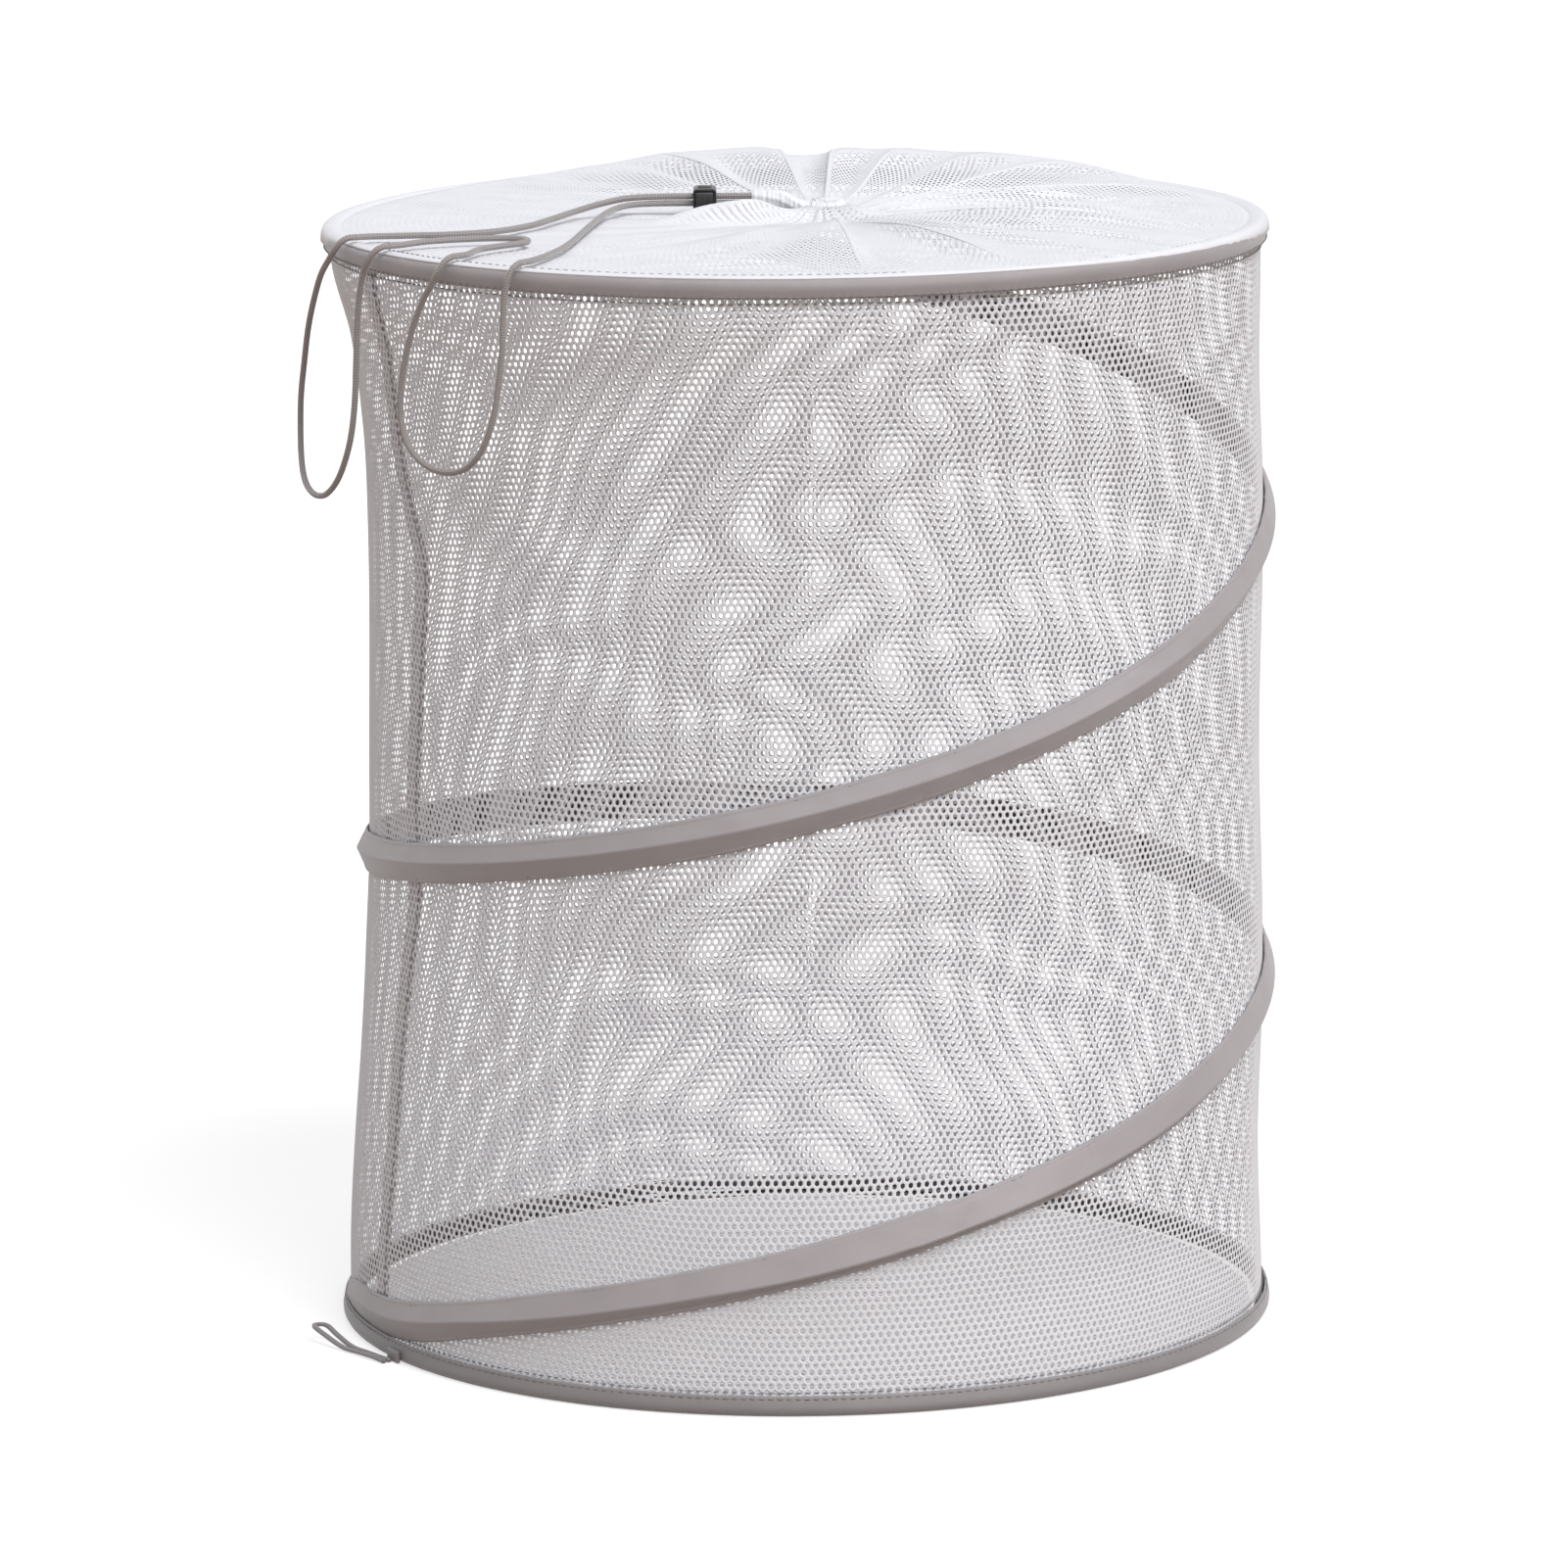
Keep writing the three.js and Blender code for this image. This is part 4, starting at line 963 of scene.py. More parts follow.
class HAMPER_OT_cover(Making, bpy.types.Operator):
    """Make the cover: net that runs in from the rim in folds and is drawn up at the gather, with its hem"""

    bl_idname = "hamper.cover"
    bl_label = "Cover and hem"

    def execute(self, context):
        settings = context.scene.hamper_net
        pulled_wide = 0.93
        columns = round(2 * math.pi * COVER_EDGE_RADIUS / settings.cell_width * pulled_wide)
        rows = round(COVER_EDGE_RADIUS / settings.row_pitch)

        def shares(turn, up):
            near = smooth_step(0.62, 0.97, up)
            worn = ripple(turn * 360, 33, (15, 26, 70), 0.03)
            return 0.88 * settings.hole_share * (1 - 0.45 * near) + worn

        for k, piece in enumerate(net_pieces("cover_net", columns, 2, rows, cover_surface, shares)):
            dressed(piece, None, "top", ["top_cover"] if k == 0 else ())
        self.make_hem()
        self.make_neck()
        self.make_crests()
        return {"FINISHED"}

    def make_hem(self):
        """The hem is scrunched on the cord: a tube with pleats, which narrows onto the cord at its ends."""
        cord, fullness, depth = 1.5 * MM, 1.45 * MM, 0.55 * MM
        share = np.linspace(0, 1, 300)
        angle = np.radians(180 + HEM_OPENING + share * (360 - 2 * HEM_OPENING))
        girth = girth_angles(20)
        ends = smooth_step(0, 0.07, share) * smooth_step(1, 0.93, share)
        pleat = ripple(share, 51, (1 / 31, 1 / 43, 1 / 19), 1) * ends
        radius = (cord + fullness * ends)[:, None] + depth * pleat[:, None] * (0.6 + 0.4 * np.sin(girth))
        ring = HEM_RADIUS * MM + radius * np.cos(girth)
        height = GATHER.z + HEM_LIFT * MM + radius * np.sin(girth)
        grid = np.stack([GATHER.x + ring * np.cos(angle)[:, None], GATHER.y + ring * np.sin(angle)[:, None],
                         height], axis=-1)
        along = share * HEM_RADIUS * MM * math.radians(360 - 2 * HEM_OPENING)
        hem = tube("scrunched_hem", grid, along, 3 * MM)
        dressed(hem, "white net yarn", "top", ["cover_hem"])

    def make_neck(self):
        """The end of the hem's channel, crumpled round both strands between the gather and the lock. It is
        a wide, low funnel at the gather, and taller than wide further out."""
        start, length, lip = 4.5 * MM, 24 * MM, 0.3 * MM
        share = np.linspace(0, 1, 90)
        girth = girth_angles(28)
        rise = smooth_step(0.1, 0.6, share)
        middle = (GATHER.z + 3.6 * MM) * (1 - rise) + LOCK_MIDDLE * rise
        crumple = ripple(share, 55, (1 / 9, 1 / 13, 1 / 6), 0.4 * MM)[:, None]
        crumple = crumple * (0.7 + 0.3 * np.cos(girth * 2))
        pleats = 0.25 * MM * np.sin(girth * 7 + 9 * share[:, None])
        funnel = smooth_step(0.45, 0.02, share)
        rounded = (1 - 0.3 * smooth_step(0.06, 0, share)) * MM
        mouth = lip * (1 - smooth_step(1, 0.93, share))
        wide = (2.5 + 0.5 * np.sin(math.pi * share) + 3.6 * funnel) * rounded - mouth
        tall = (3.4 + 0.3 * rise - 0.7 * funnel) * rounded - mouth
        grid = np.stack([
            (GATHER.x - start - length * share)[:, None] + 0 * girth,
            GATHER.y + (wide[:, None] + crumple + pleats) * np.cos(girth),
            middle[:, None] + (tall[:, None] + crumple + pleats) * np.sin(girth),
        ], axis=-1)
        neck = tube("gathered_neck", grid, share * length, 3 * MM)
        dressed(neck, "white net yarn", "top")

    def make_crests(self):
        """The net lies double along its sharpest folds: narrow strips that run out from the gather."""
        start, end = 0.09, 0.94
        share = np.linspace(start, end, 80)
        girth = girth_angles(10)
        full = smooth_step(start, 0.2, share) * smooth_step(end, 0.75, share)
        wide, tall = ((least + more * full)[:, None] * MM for least, more in ((0.15, 0.8), (0.1, 0.3)))
        strips = []
        for bearing in CRESTS:
            angle = math.radians(bearing)
            heading = Vector((math.sin(angle), -math.cos(angle)))
            across = Vector((math.cos(angle), math.sin(angle)))
            inward = heading.dot(GATHER.xy)
            reach = math.sqrt(COVER_EDGE_RADIUS ** 2 - GATHER.xy.length_squared + inward ** 2) - inward
            height = HAMPER_TOP - 0.62 * MM + cover_rise(np.full(len(share), bearing), share)
            out, aside = (reach * share)[:, None], wide * np.cos(girth)
            grid = np.stack([GATHER.x + heading.x * out + across.x * aside,
                             GATHER.y + heading.y * out + across.y * aside,
                             height[:, None] + tall * np.sin(girth)], axis=-1)
            strips.append(tube("crest", grid, reach * share, MM))
        dressed(joined("cover_crests", strips), "white net yarn", "top")


# Tape

RIM_STEPS = 480


def rim_azimuths():
    return np.arange(RIM_STEPS) * 360 / RIM_STEPS


def rim_skin(name, azimuth, out, height, section):
    """Closed ring on a rim: a section's points at each azimuth, out from the ring of wire."""
    grid = around(azimuth[:, None], RING_RADIUS + out, height)
    along = np.arange(len(azimuth) + 1) * 2 * math.pi * RING_RADIUS / len(azimuth)
    return skin(name, grid, along, section_lengths(section), close_along=True)


class HAMPER_OT_rim_bindings(Making, bpy.types.Operator):
    """Make the two rim bindings: grey tape folded over the ring and stitched through the net"""

    bl_idname = "hamper.rim_bindings"
    bl_label = "Rim bindings"

    def execute(self, context):
        thickness = context.scene.hamper_tape.thickness
        # From the inner edge over the ring and down to the outer edge: out from the ring, up from it
        fold = [(-4.4, 2.9), (-3.1, 3.35), (-1.4, 3.7), (0.3, 3.65), (1.7, 3.1), (2.7, 2.1), (3.15, 0.9),
                (3.2, -0.4), (2.95, -1.6), (2.55, -2.7), (2.25, -3.7), (2.1, -4.7)]
        self.make("top_rim_tape", "top", "top_rim_binding", HIGH_RING_Z, 1, fold, thickness)
        foot = [(-2.7, 1.5), (-1.6, 2.6), (-0.2, 3.1), (1.3, 3.0), (2.5, 2.3), (3.2, 1.1), (3.3, -0.4),
                (3.0, -1.9), (2.5, -3.3), (2.15, -4.5), (2.0, -5.3)]
        self.make("bottom_rim_tape", "base", "bottom_rim_binding", LOW_RING_Z, -1, foot, thickness)
        self.make_lip(thickness)
        return {"FINISHED"}

    def make_lip(self, thickness):
        """The cover's net is folded over the tape: a narrow edge in front, and further down at the sides."""
        short = [(-5, 3.3), (-4.3, 3.75), (-2.9, 4.15), (-1.6, 4.35), (-0.4, 4.35), (0.7, 4.1), (1.5, 3.75),
                 (2, 3.35)]
        long = [(-5, 3.3), (-4.1, 3.85), (-2.2, 4.4), (-0.2, 4.6), (1.6, 4.15), (2.9, 3.1), (3.6, 1.5),
                (3.75, -1.4)]
        azimuth = rim_azimuths() - 180
        reach = np.clip(level_ended(LIP_STATIONS)(azimuth), 0, 1)[:, None, None]
        near, far = (folded(np.array(line) * MM, thickness) for line in (short, long))
        section = near * (1 - reach) + far * reach
        pucker = ripple(azimuth, 63, (2.1, 3.3, 7.2), 0.12 * MM)[:, None]
        lip = rim_skin("cover_lip", azimuth, section[..., 0] + pucker, HIGH_RING_Z + section[..., 1], near)
        dressed(lip, "white net yarn", "top")

    def make(self, name, body, node, ring_z, up, fold, thickness):
        """One binding, up being -1 where it opens upwards."""
        section = folded(np.array(fold) * MM, thickness)
        azimuth = rim_azimuths()
        pucker = ripple(azimuth, 61, (2.2, 3.1, 5.3), 0.14 * MM) + ripple(azimuth, 62, (17, 29), 0.12 * MM)
        leg = 5.3 * MM
        loose = np.abs(section[:, 1]) / leg
        out = section[:, 0] + pucker[:, None] * loose
        piece = rim_skin(name, azimuth, out, ring_z + up * section[:, 1], section)
        dressed(piece, "grey woven tape", body, [node])


def along_spiral(start, end, step):
    return np.linspace(start, end, round((end - start) / step) + 1)


def drawn_in(azimuth):
    """How far the spiral is drawn in against the net where it runs into the bottom rim, from 0 to 1."""
    return smooth_step(-42, -76, azimuth)


def sleeve_height(azimuth):
    """Height of the sleeve's middle, lowered where its hem is tucked behind the bottom rim's tape."""
    return spiral_height(azimuth) - TUCK_DEPTH * smooth_step(-45, -65, azimuth)


class HAMPER_OT_spiral(Making, bpy.types.Operator):
    """Make the spiral: the spring wire and the grey tape folded over it on the outside of the net"""

    bl_idname = "hamper.spiral"
    bl_label = "Spiral wire and sleeve"

    def execute(self, context):
        self.make_sleeve(context.scene.hamper_tape.thickness)
        self.make_wire()
        return {"FINISHED"}

    def course(self, azimuth):
        """Middle of the sleeve and its share of the full size, run on into both rims past its ends."""
        low_end = smooth_step(-72, SLEEVE_START, azimuth)
        high_end = smooth_step(566, SLEEVE_END, azimuth)
        lower = (LOW_RING_Z + 1.5 * MM + TUCK_DEPTH - SPIRAL_LOW) * low_end
        upper = (HIGH_RING_Z - 1.5 * MM - SPIRAL_HIGH) * high_end
        return sleeve_height(azimuth) + lower + upper, 1 - 0.6 * (low_end + high_end)

    def outline(self, rise):
        """Outer line of the sleeve's section in millimetres: a hem, a slope up to the ridge, whose place is
        the rise, its top, a slope down and the other hem."""
        hem = [(0.25, 7.6), (0.7, 7.5), (0.95, 7.0), (1.0, 6.3), (1.15, 6.0)]
        half_top = 0.42
        slope = [(1.15 + 2.75 * t, 6 + (rise + half_top - 6) * t) for t in (0.08, 0.3, 0.55, 0.8, 0.94)]
        top = [(3.9, rise + half_top), (4.2, rise), (3.9, rise - half_top)]
        fall = [(1.15 + 2.75 * t, -6 + (rise - half_top + 6) * t) for t in (0.92, 0.75, 0.5, 0.25, 0.08)]
        return hem + slope + top + fall + [(out, -up) for out, up in reversed(hem)]

    def make_sleeve(self, thickness):
        azimuth = along_spiral(SLEEVE_START, SLEEVE_END, 1)
        arc = np.radians(azimuth) * WALL_RADIUS
        ridge = level_ended(RIDGE_STATIONS)(azimuth)
        section = np.array([folded(np.array(self.outline(rise)) * MM, -thickness) for rise in ridge])
        edge = np.abs(section[..., 1]) / SLEEVE_HALF
        pucker = ripple(arc, 71, (0.0073, 0.0105, 0.0171), 0.2 * MM)[:, None] * edge ** 3
        sway = ripple(arc, 72, (0.07, 0.11, 0.19), 0.35 * MM)[:, None]
        above, below = (ripple(arc, seed, (0.019, 0.034, 0.055), 0.3 * MM)[:, None] for seed in (73, 74))
        flank = np.sin(math.pi * np.clip((section[..., 0] / MM - 1) / 3, 0, 1))
        hollow = np.where(section[..., 1] > ridge[:, None] * MM, above, below) * flank
        middle, size = self.course(azimuth)
        splice = self.splice_step(arc[:, None], section[..., 1])
        out = (section[..., 0] + pucker + hollow + splice) * (size * (1 - 0.5 * drawn_in(azimuth)))[:, None]
        shift = section[..., 1] + sway * np.sign(section[..., 1]) * edge
        grid = on_wall(azimuth[:, None], out, middle[:, None] + shift * size[:, None])
        sleeve = skin("spiral_tape", grid, arc - arc[0], section_lengths(section[len(section) // 2]))
        dressed(sleeve, "grey woven tape", "base", ["spiral_sleeve"])
        collapsing(sleeve)

    def splice_step(self, arc, up):
        """Where one length of tape ends on the next: a thin layer with slanting ends."""
        slanted = arc - math.radians(SPLICE_AZIMUTH) * WALL_RADIUS - 0.9 * up
        ramp = 0.7 * MM
        ends = smooth_step(0, ramp, slanted) * smooth_step(SPLICE_LENGTH, SPLICE_LENGTH - ramp, slanted)
        return SPLICE_STEP * ends

    def make_wire(self):
        girth = girth_angles(12)
        azimuth = along_spiral(SPIRAL_START + 1, SPIRAL_END - 1, 1.5)
        inwards = 1.3 * MM * drawn_in(azimuth)[:, None]
        grid = on_wall(azimuth[:, None], WIRE_GAP + WIRE_RADIUS * (1 + np.cos(girth)) - inwards,
                       sleeve_height(azimuth)[:, None] + WIRE_RADIUS * np.sin(girth))
        wire = tube("spiral_spring_wire", grid, np.radians(azimuth) * WALL_RADIUS, WIRE_RADIUS)
        dressed(wire, "drawn spring steel", "base", ["spiral_wire"])
        collapsing(wire)


class HAMPER_OT_seam_tape(Making, bpy.types.Operator):
    """Make the seam: a narrow grey tape inside the wall where the net's two edges meet"""

    bl_idname = "hamper.seam_tape"
    bl_label = "Side seam tape"

    def execute(self, context):
        height = np.linspace(NET_LOW, NET_HIGH, 260)
        middle = seam_azimuth(100 * (height - NET_LOW) / (NET_HIGH - NET_LOW))
        # Across the tape in half widths, and inwards in thicknesses
        section = np.array([(-1, 0.1), (-0.9, 0), (-0.5, 0), (0, 0), (0.5, 0), (0.9, 0), (1, 0.1),
                            (1, 0.9), (0.9, 1), (0.5, 1.3), (0, 1.5), (-0.5, 1.3), (-0.9, 1), (-1, 0.9)])
        sizes = 6 * MM, context.scene.hamper_tape.thickness
        across, deep = (section * sizes).T
        pucker = ripple(height, 81, (0.006, 0.009, 0.017), 0.25 * MM)[:, None] * (section[:, 0] ** 2)
        azimuth = middle[:, None] + np.degrees(across / WALL_RADIUS)
        grid = on_net(azimuth, -0.35 * MM - deep - np.abs(pucker), height[:, None] + 0 * across)
        tape = skin("seam_tape", grid, height, section_lengths(section * sizes))
        dressed(tape, "grey woven tape", "base", ["side_seam_tape"])
        collapsing(tape)
        return {"FINISHED"}


class HAMPER_OT_stitches(Making, bpy.types.Operator):
    """Sew the tapes: rows of stitches along the rims, the spiral and the seam"""

    bl_idname = "hamper.stitches"
    bl_label = "Stitches"

    def execute(self, context):
        round_about = np.linspace(0, 360, 361)
        in_sight = np.linspace(-64, 13, 160)
        top_rows = [self.rim_row(in_sight, HIGH_RING_Z, -4.5, 3.95),
                    self.rim_row(round_about, HIGH_RING_Z, 2.45, -3.9)]
        self.sew("top_rim_stitches", "top", top_rows)
        self.sew("bottom_rim_stitches", "base", [self.rim_row(round_about, LOW_RING_Z, 2.35, 4.1)])
        turns = along_spiral(-70, 564, 1)
        out = 1.15 * MM * (1 - 0.5 * drawn_in(turns))
        rows = [on_wall(turns, out, sleeve_height(turns) + side * 6.7 * MM) for side in (-1, 1)]
        rows += [on_net(round_about, 0.45 * MM, np.full(len(round_about), level))
                 for level in (HIGH_RING_Z - 6.8 * MM, LOW_LEG_TOP + 0.9 * MM)]
        height = np.linspace(LOW_LEG_TOP + 2 * MM, HIGH_LEG_BOTTOM - 2 * MM, 200)
        percent = 100 * (height - LOW_LEG_TOP) / (HIGH_LEG_BOTTOM - LOW_LEG_TOP)
        azimuth = seam_azimuth(percent) + math.degrees(4.6 * MM / WALL_RADIUS)
        rows.append(on_net(azimuth, 0.3 * MM, height))
        collapsing(self.sew("wall_stitches", "base", rows))
        return {"FINISHED"}

    def rim_row(self, azimuth, ring_z, out, up):
        """Row on a rim's tape, out and up from the ring of wire in millimetres."""
        return around(azimuth, RING_RADIUS + out * MM, ring_z + up * MM)

    def sew(self, name, body, rows):
        """One object with a stitch at each step along the rows."""
        settings = bpy.context.scene.hamper_tape
        mesh = bpy.data.meshes.new(name)
        starts = np.cumsum([0, *[len(row) for row in rows]])
        edges = [(k, k + 1) for start, end in zip(starts, starts[1:]) for k in range(start, end - 1)]
        mesh.from_pydata([tuple(point) for row in rows for point in row], edges, [])
        sewn = grow(linked(name, mesh), bpy.data.node_groups.get("Stitches") or stitch_tree(), {
            "Stitch pitch": settings.stitch_pitch, "Stitch length": settings.stitch_length,
            "Thread radius": settings.thread_radius, "Material": finish("grey sewing thread")})
        return dressed(sewn, None, body)


# Drawcord and cord lock

def on_cover(x, y, lift):
    return np.array((x, y, HAMPER_TOP / MM + lift))


def hanging(azimuth, drop, radius=HANG_RADIUS):
    return around(azimuth, radius, HAMPER_TOP / MM - drop)


def crossing(azimuth, radius=CROSSING_RADIUS):
    return around(azimuth, radius, HAMPER_TOP / MM + CROSSING_LIFT)


def strand_route(side, first_rows, last_rows, azimuth):
    """From the hem through the lock and over the cover to the rim. Side is 1 for the upper strand, which
    leaves the hem behind, and -1 for the lower one."""
    angle = math.radians(HEM_OPENING - 2)
    gather_y = GATHER.y / MM
    leaving = np.array((GATHER.x / MM - HEM_RADIUS * math.cos(angle),
                        gather_y + side * HEM_RADIUS * math.sin(angle), GATHER.z / MM + HEM_LIFT))
    lock_z = LOCK_MIDDLE / MM + side * 1.4
    in_lock = [np.array((x, gather_y, z)) for x, z in (
        (-11, lock_z - 0.1), (-17, lock_z), (-37, lock_z), (-57, lock_z))]
    return [leaving, *(on_cover(*row) for row in first_rows), *in_lock,
            *(on_cover(*row) for row in last_rows), crossing(azimuth, APPROACH_RADIUS), crossing(azimuth)]


def loop_route(start, rows, end):
    """A loop that hangs over the rim from one crossing to the next."""
    return [crossing(start), *(hanging(*row) for row in rows), crossing(end)]


def drawcord_routes():
    """Chosen points of each stretch of the drawcord, in millimetres."""
    upper = strand_route(
        1, [(3.8, 7.1, 3.9), (0, 5.7, 5.1), (-5, 4.5, 7.2)],
        [(-68, 2.5, 8), (-78, -4, 6.8), (-88, -17, 5.4), (-97, -34, 4.4), (-107, -52, 3.6), (-121, -65, 3.1),
         (-138, -69, 2.7), (-153, -68.5, 2.4)], UPPER_CROSSING)
    left = loop_route(UPPER_CROSSING, [
        (-68, -2.1, 191.5), (-68.2, -0.6, 194.3), (-69, 3.2, 196.4), (-71, 8, 197), (-74, 14.5, 197.3),
        (-77.5, 25, 197.8), (-81.5, 39, 198.8), (-84.5, 54, 200), (-86.5, 69, 201.5), (-87, 82, 202),
        (-85.5, 92.5, 202), (-82, 99.5, 201.8), (-78, 102.8, 201.5), (-74, 103.6, 201),
        (-70.5, 101.5, 200.3), (-67.3, 95, 199.4), (-65, 86, 198.8), (-63.4, 75, 198.2), (-62.6, 62, 197.6),
        (-62.4, 48, 197), (-62.2, 34, 196.6), (-61.5, 20), (-60.3, 9.5), (-59, 3.2, 196.3),
        (-58.3, -0.6, 194.4), (-58, -2.1, 191.5)], RETURN_START)
    back = [
        crossing(RETURN_START), crossing(RETURN_START, APPROACH_RADIUS),
        *(on_cover(*row) for row in (
            (-147, -91.5, 2.6), (-136, -88, 2.9), (-124.5, -86.5, 3.1), (-114, -88, 3.3), (-107, -93, 3.4),
            (-105.5, -99.5, 3.3), (-109.5, -105, 3.1), (-116.5, -109.5, 2.8), (-123.5, -117, 2.6))),
        crossing(RETURN_END, APPROACH_RADIUS), crossing(RETURN_END),
    ]
    right = loop_route(RETURN_END, [
        (-44.5, -2.1, 191.5), (-44.7, -0.6, 194.4), (-45.2, 3.2, 196.3), (-46.2, 8), (-47.6, 14),
        (-49.1, 22), (-50.5, 32), (-51.7, 43), (-52.4, 54), (-52.4, 64), (-51.5, 72), (-49.6, 78),
        (-47, 81.5), (-44.2, 82.3), (-41.5, 80), (-39.4, 74.5), (-37.8, 66), (-36.7, 55), (-36, 43),
        (-35.5, 31), (-35.3, 19), (-35, 9), (-34.6, 3.2, 196.3), (-34.2, -0.6, 194.4),
        (-34, -2.1, 191.5)], LOWER_CROSSING)
    lower = strand_route(
        -1, [(3.8, 0.9, 3.5), (0, 2.5, 3.8), (-5, 3.6, 4.4)],
        [(-66, 1.5, 5.4), (-72, -6, 5), (-76, -18, 4.5), (-79, -35, 4), (-82, -55, 3.7), (-85, -78, 3.4),
         (-88, -100, 3), (-92, -120, 2.6), (-97, -138, 2.4)], LOWER_CROSSING)
    turns = np.radians(np.linspace(180 + HEM_OPENING - 2, 540 - HEM_OPENING + 2, 20))
    hem = [np.array((GATHER.x / MM + HEM_RADIUS * math.cos(a), GATHER.y / MM + HEM_RADIUS * math.sin(a),
                     GATHER.z / MM + HEM_LIFT)) for a in turns]
    return {"upper": upper, "left": left, "back": back, "right": right, "lower": lower, "hem": hem}


def cord_tube(name, path, diameter, pitch):
    """Round braided cord along a path: the strands stand out a little from its surface."""
    relief, strands = 0.035, 4
    girth = girth_angles(16)
    turn = 2 * math.pi * lengths_along(path)[:, None] / pitch
    braid = np.sin(turn + strands * girth) * np.sin(turn - strands * girth)
    radius = diameter / 2 * (1 + relief * braid)
    return swept(name, path, *path_frames(path), radius * np.cos(girth), radius * np.sin(girth), diameter / 2)


class HAMPER_OT_drawcord(Making, bpy.types.Operator):
    """Lay the drawcord: round the hem, through the cord lock, over the cover and in two loops over the rim"""

    bl_idname = "hamper.drawcord"
    bl_label = "Drawcord"

    def execute(self, context):
        settings = context.scene.hamper_cord
        routes = drawcord_routes()
        stretches = [
            ("cord_upper_strand", "upper", "drawcord_upper_strand", "loose"),
            ("cord_left_loop", "left", "drawcord_left_loop", "hanging"),
            ("cord_rim_return", "back", "drawcord_rim_return", "loose"),
            ("cord_right_loop", "right", "drawcord_right_loop", "hanging"),
            ("cord_lower_strand", "lower", "drawcord_lower_strand", "loose"),
            ("cord_in_hem", "hem", "drawcord_in_hem", "loose"),
        ]
        for name, route, node, lay in stretches:
            path = smooth_path(np.array(routes[route]) * MM, 0.55 * MM)
            cord = cord_tube(name, path, settings.diameter, settings.braid_pitch)
            dressed(cord, "grey braided cord", "top", [node])
            if lay == "hanging":
                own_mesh(cord)
        return {"FINISHED"}


def moulded(name, node, edge_round):
    """Copy of a moulded node with its flat faces whole and its edges rounded."""
    mesh = frame["nodes"][node].data.copy()
    mesh.name = name
    mesh.materials.clear()
    obj = linked(name, mesh)
    with edited(mesh) as work:
        bmesh.ops.remove_doubles(work, verts=work.verts, dist=0.01 * MM)
        bmesh.ops.dissolve_limit(work, angle_limit=math.radians(2), verts=work.verts, edges=work.edges)
    bevel = obj.modifiers.new("Round", "BEVEL")
    bevel.width = edge_round
    bevel.segments = 3
    bevel.limit_method = "ANGLE"
    bevel.angle_limit = math.radians(40)
    bevel.harden_normals = False
    applied(obj)
    set_smooth(obj.data)
    obj.data.set_sharp_from_angle(angle=math.radians(35))
    return obj


def grip_bar(low, high, round_off):
    """A small rounded bar between two corners."""
    low, high = Vector(low), Vector(high)
    mesh = bpy.data.meshes.new("bar")
    with edited(mesh) as work:
        bmesh.ops.create_cube(work, size=1)
        place = Matrix.LocRotScale((high + low) / 2, None, high - low)
        bmesh.ops.transform(work, matrix=place, verts=work.verts)
        bmesh.ops.bevel(work, geom=work.edges, offset=round_off, segments=3, affect="EDGES", profile=0.5)
    set_smooth(mesh)
    return linked("bar", mesh)


class HAMPER_OT_cord_lock(Making, bpy.types.Operator):
    """Make the cord lock: a moulded body with grip bars, and the plunger that presses into it"""

    bl_idname = "hamper.cord_lock"
    bl_label = "Cord lock"

    def execute(self, context):
        low, high = LOCK_LOW, LOCK_HIGH
        bars = [((low.x + 2 * MM, y, high.z - 0.2 * MM), (high.x - 2 * MM, y + 1.1 * MM, high.z + 0.35 * MM))
                for y in (low.y + (4.2 + 2.6 * k) * MM for k in range(3))]
        self.make("lock_body", "cord_lock_body", "cord_lock", bars, 0.25 * MM)
        low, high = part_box("cord_lock_plunger")
        ribs = [((x, low.y - 0.3 * MM, low.z + 1 * MM), (x + 0.9 * MM, low.y + 0.2 * MM, high.z - 1 * MM))
                for x in (low.x + (1.15 + 1.9 * k) * MM for k in range(3))]
        self.make("lock_plunger", "cord_lock_plunger", "plunger", ribs, 0.2 * MM)
        self.make_spring()
        return {"FINISHED"}

    def make(self, name, node, body, bars, round_off):
        """One moulding with its bars."""
        shell = moulded(name + "_shell", node, bpy.context.scene.hamper_lock.edge_round)
        whole = joined(name, [shell, *(grip_bar(*corners, round_off) for corners in bars)])
        dressed(whole, "black moulded plastic", body, [node])

    def make_spring(self):
        """Coil spring between the plunger and the bottom of the body."""
        low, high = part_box("cord_lock_spring")
        wire, turns = 0.55 * MM, 2.6
        middle = (low + high) / 2
        radius = (high.x - low.x) / 2 - wire / 2
        share = np.linspace(0, 1, 90)
        angle = 2 * math.pi * turns * share
        path = np.stack([middle.x + radius * np.cos(angle),
                         low.y + wire / 2 + (high.y - low.y - wire) * share,
                         middle.z + radius * np.sin(angle)], axis=1)
        spring = cord_tube("lock_spring", path, wire, pitch=1)
        dressed(spring, "drawn spring steel", "cord_lock", ["cord_lock_spring"])
        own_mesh(spring)


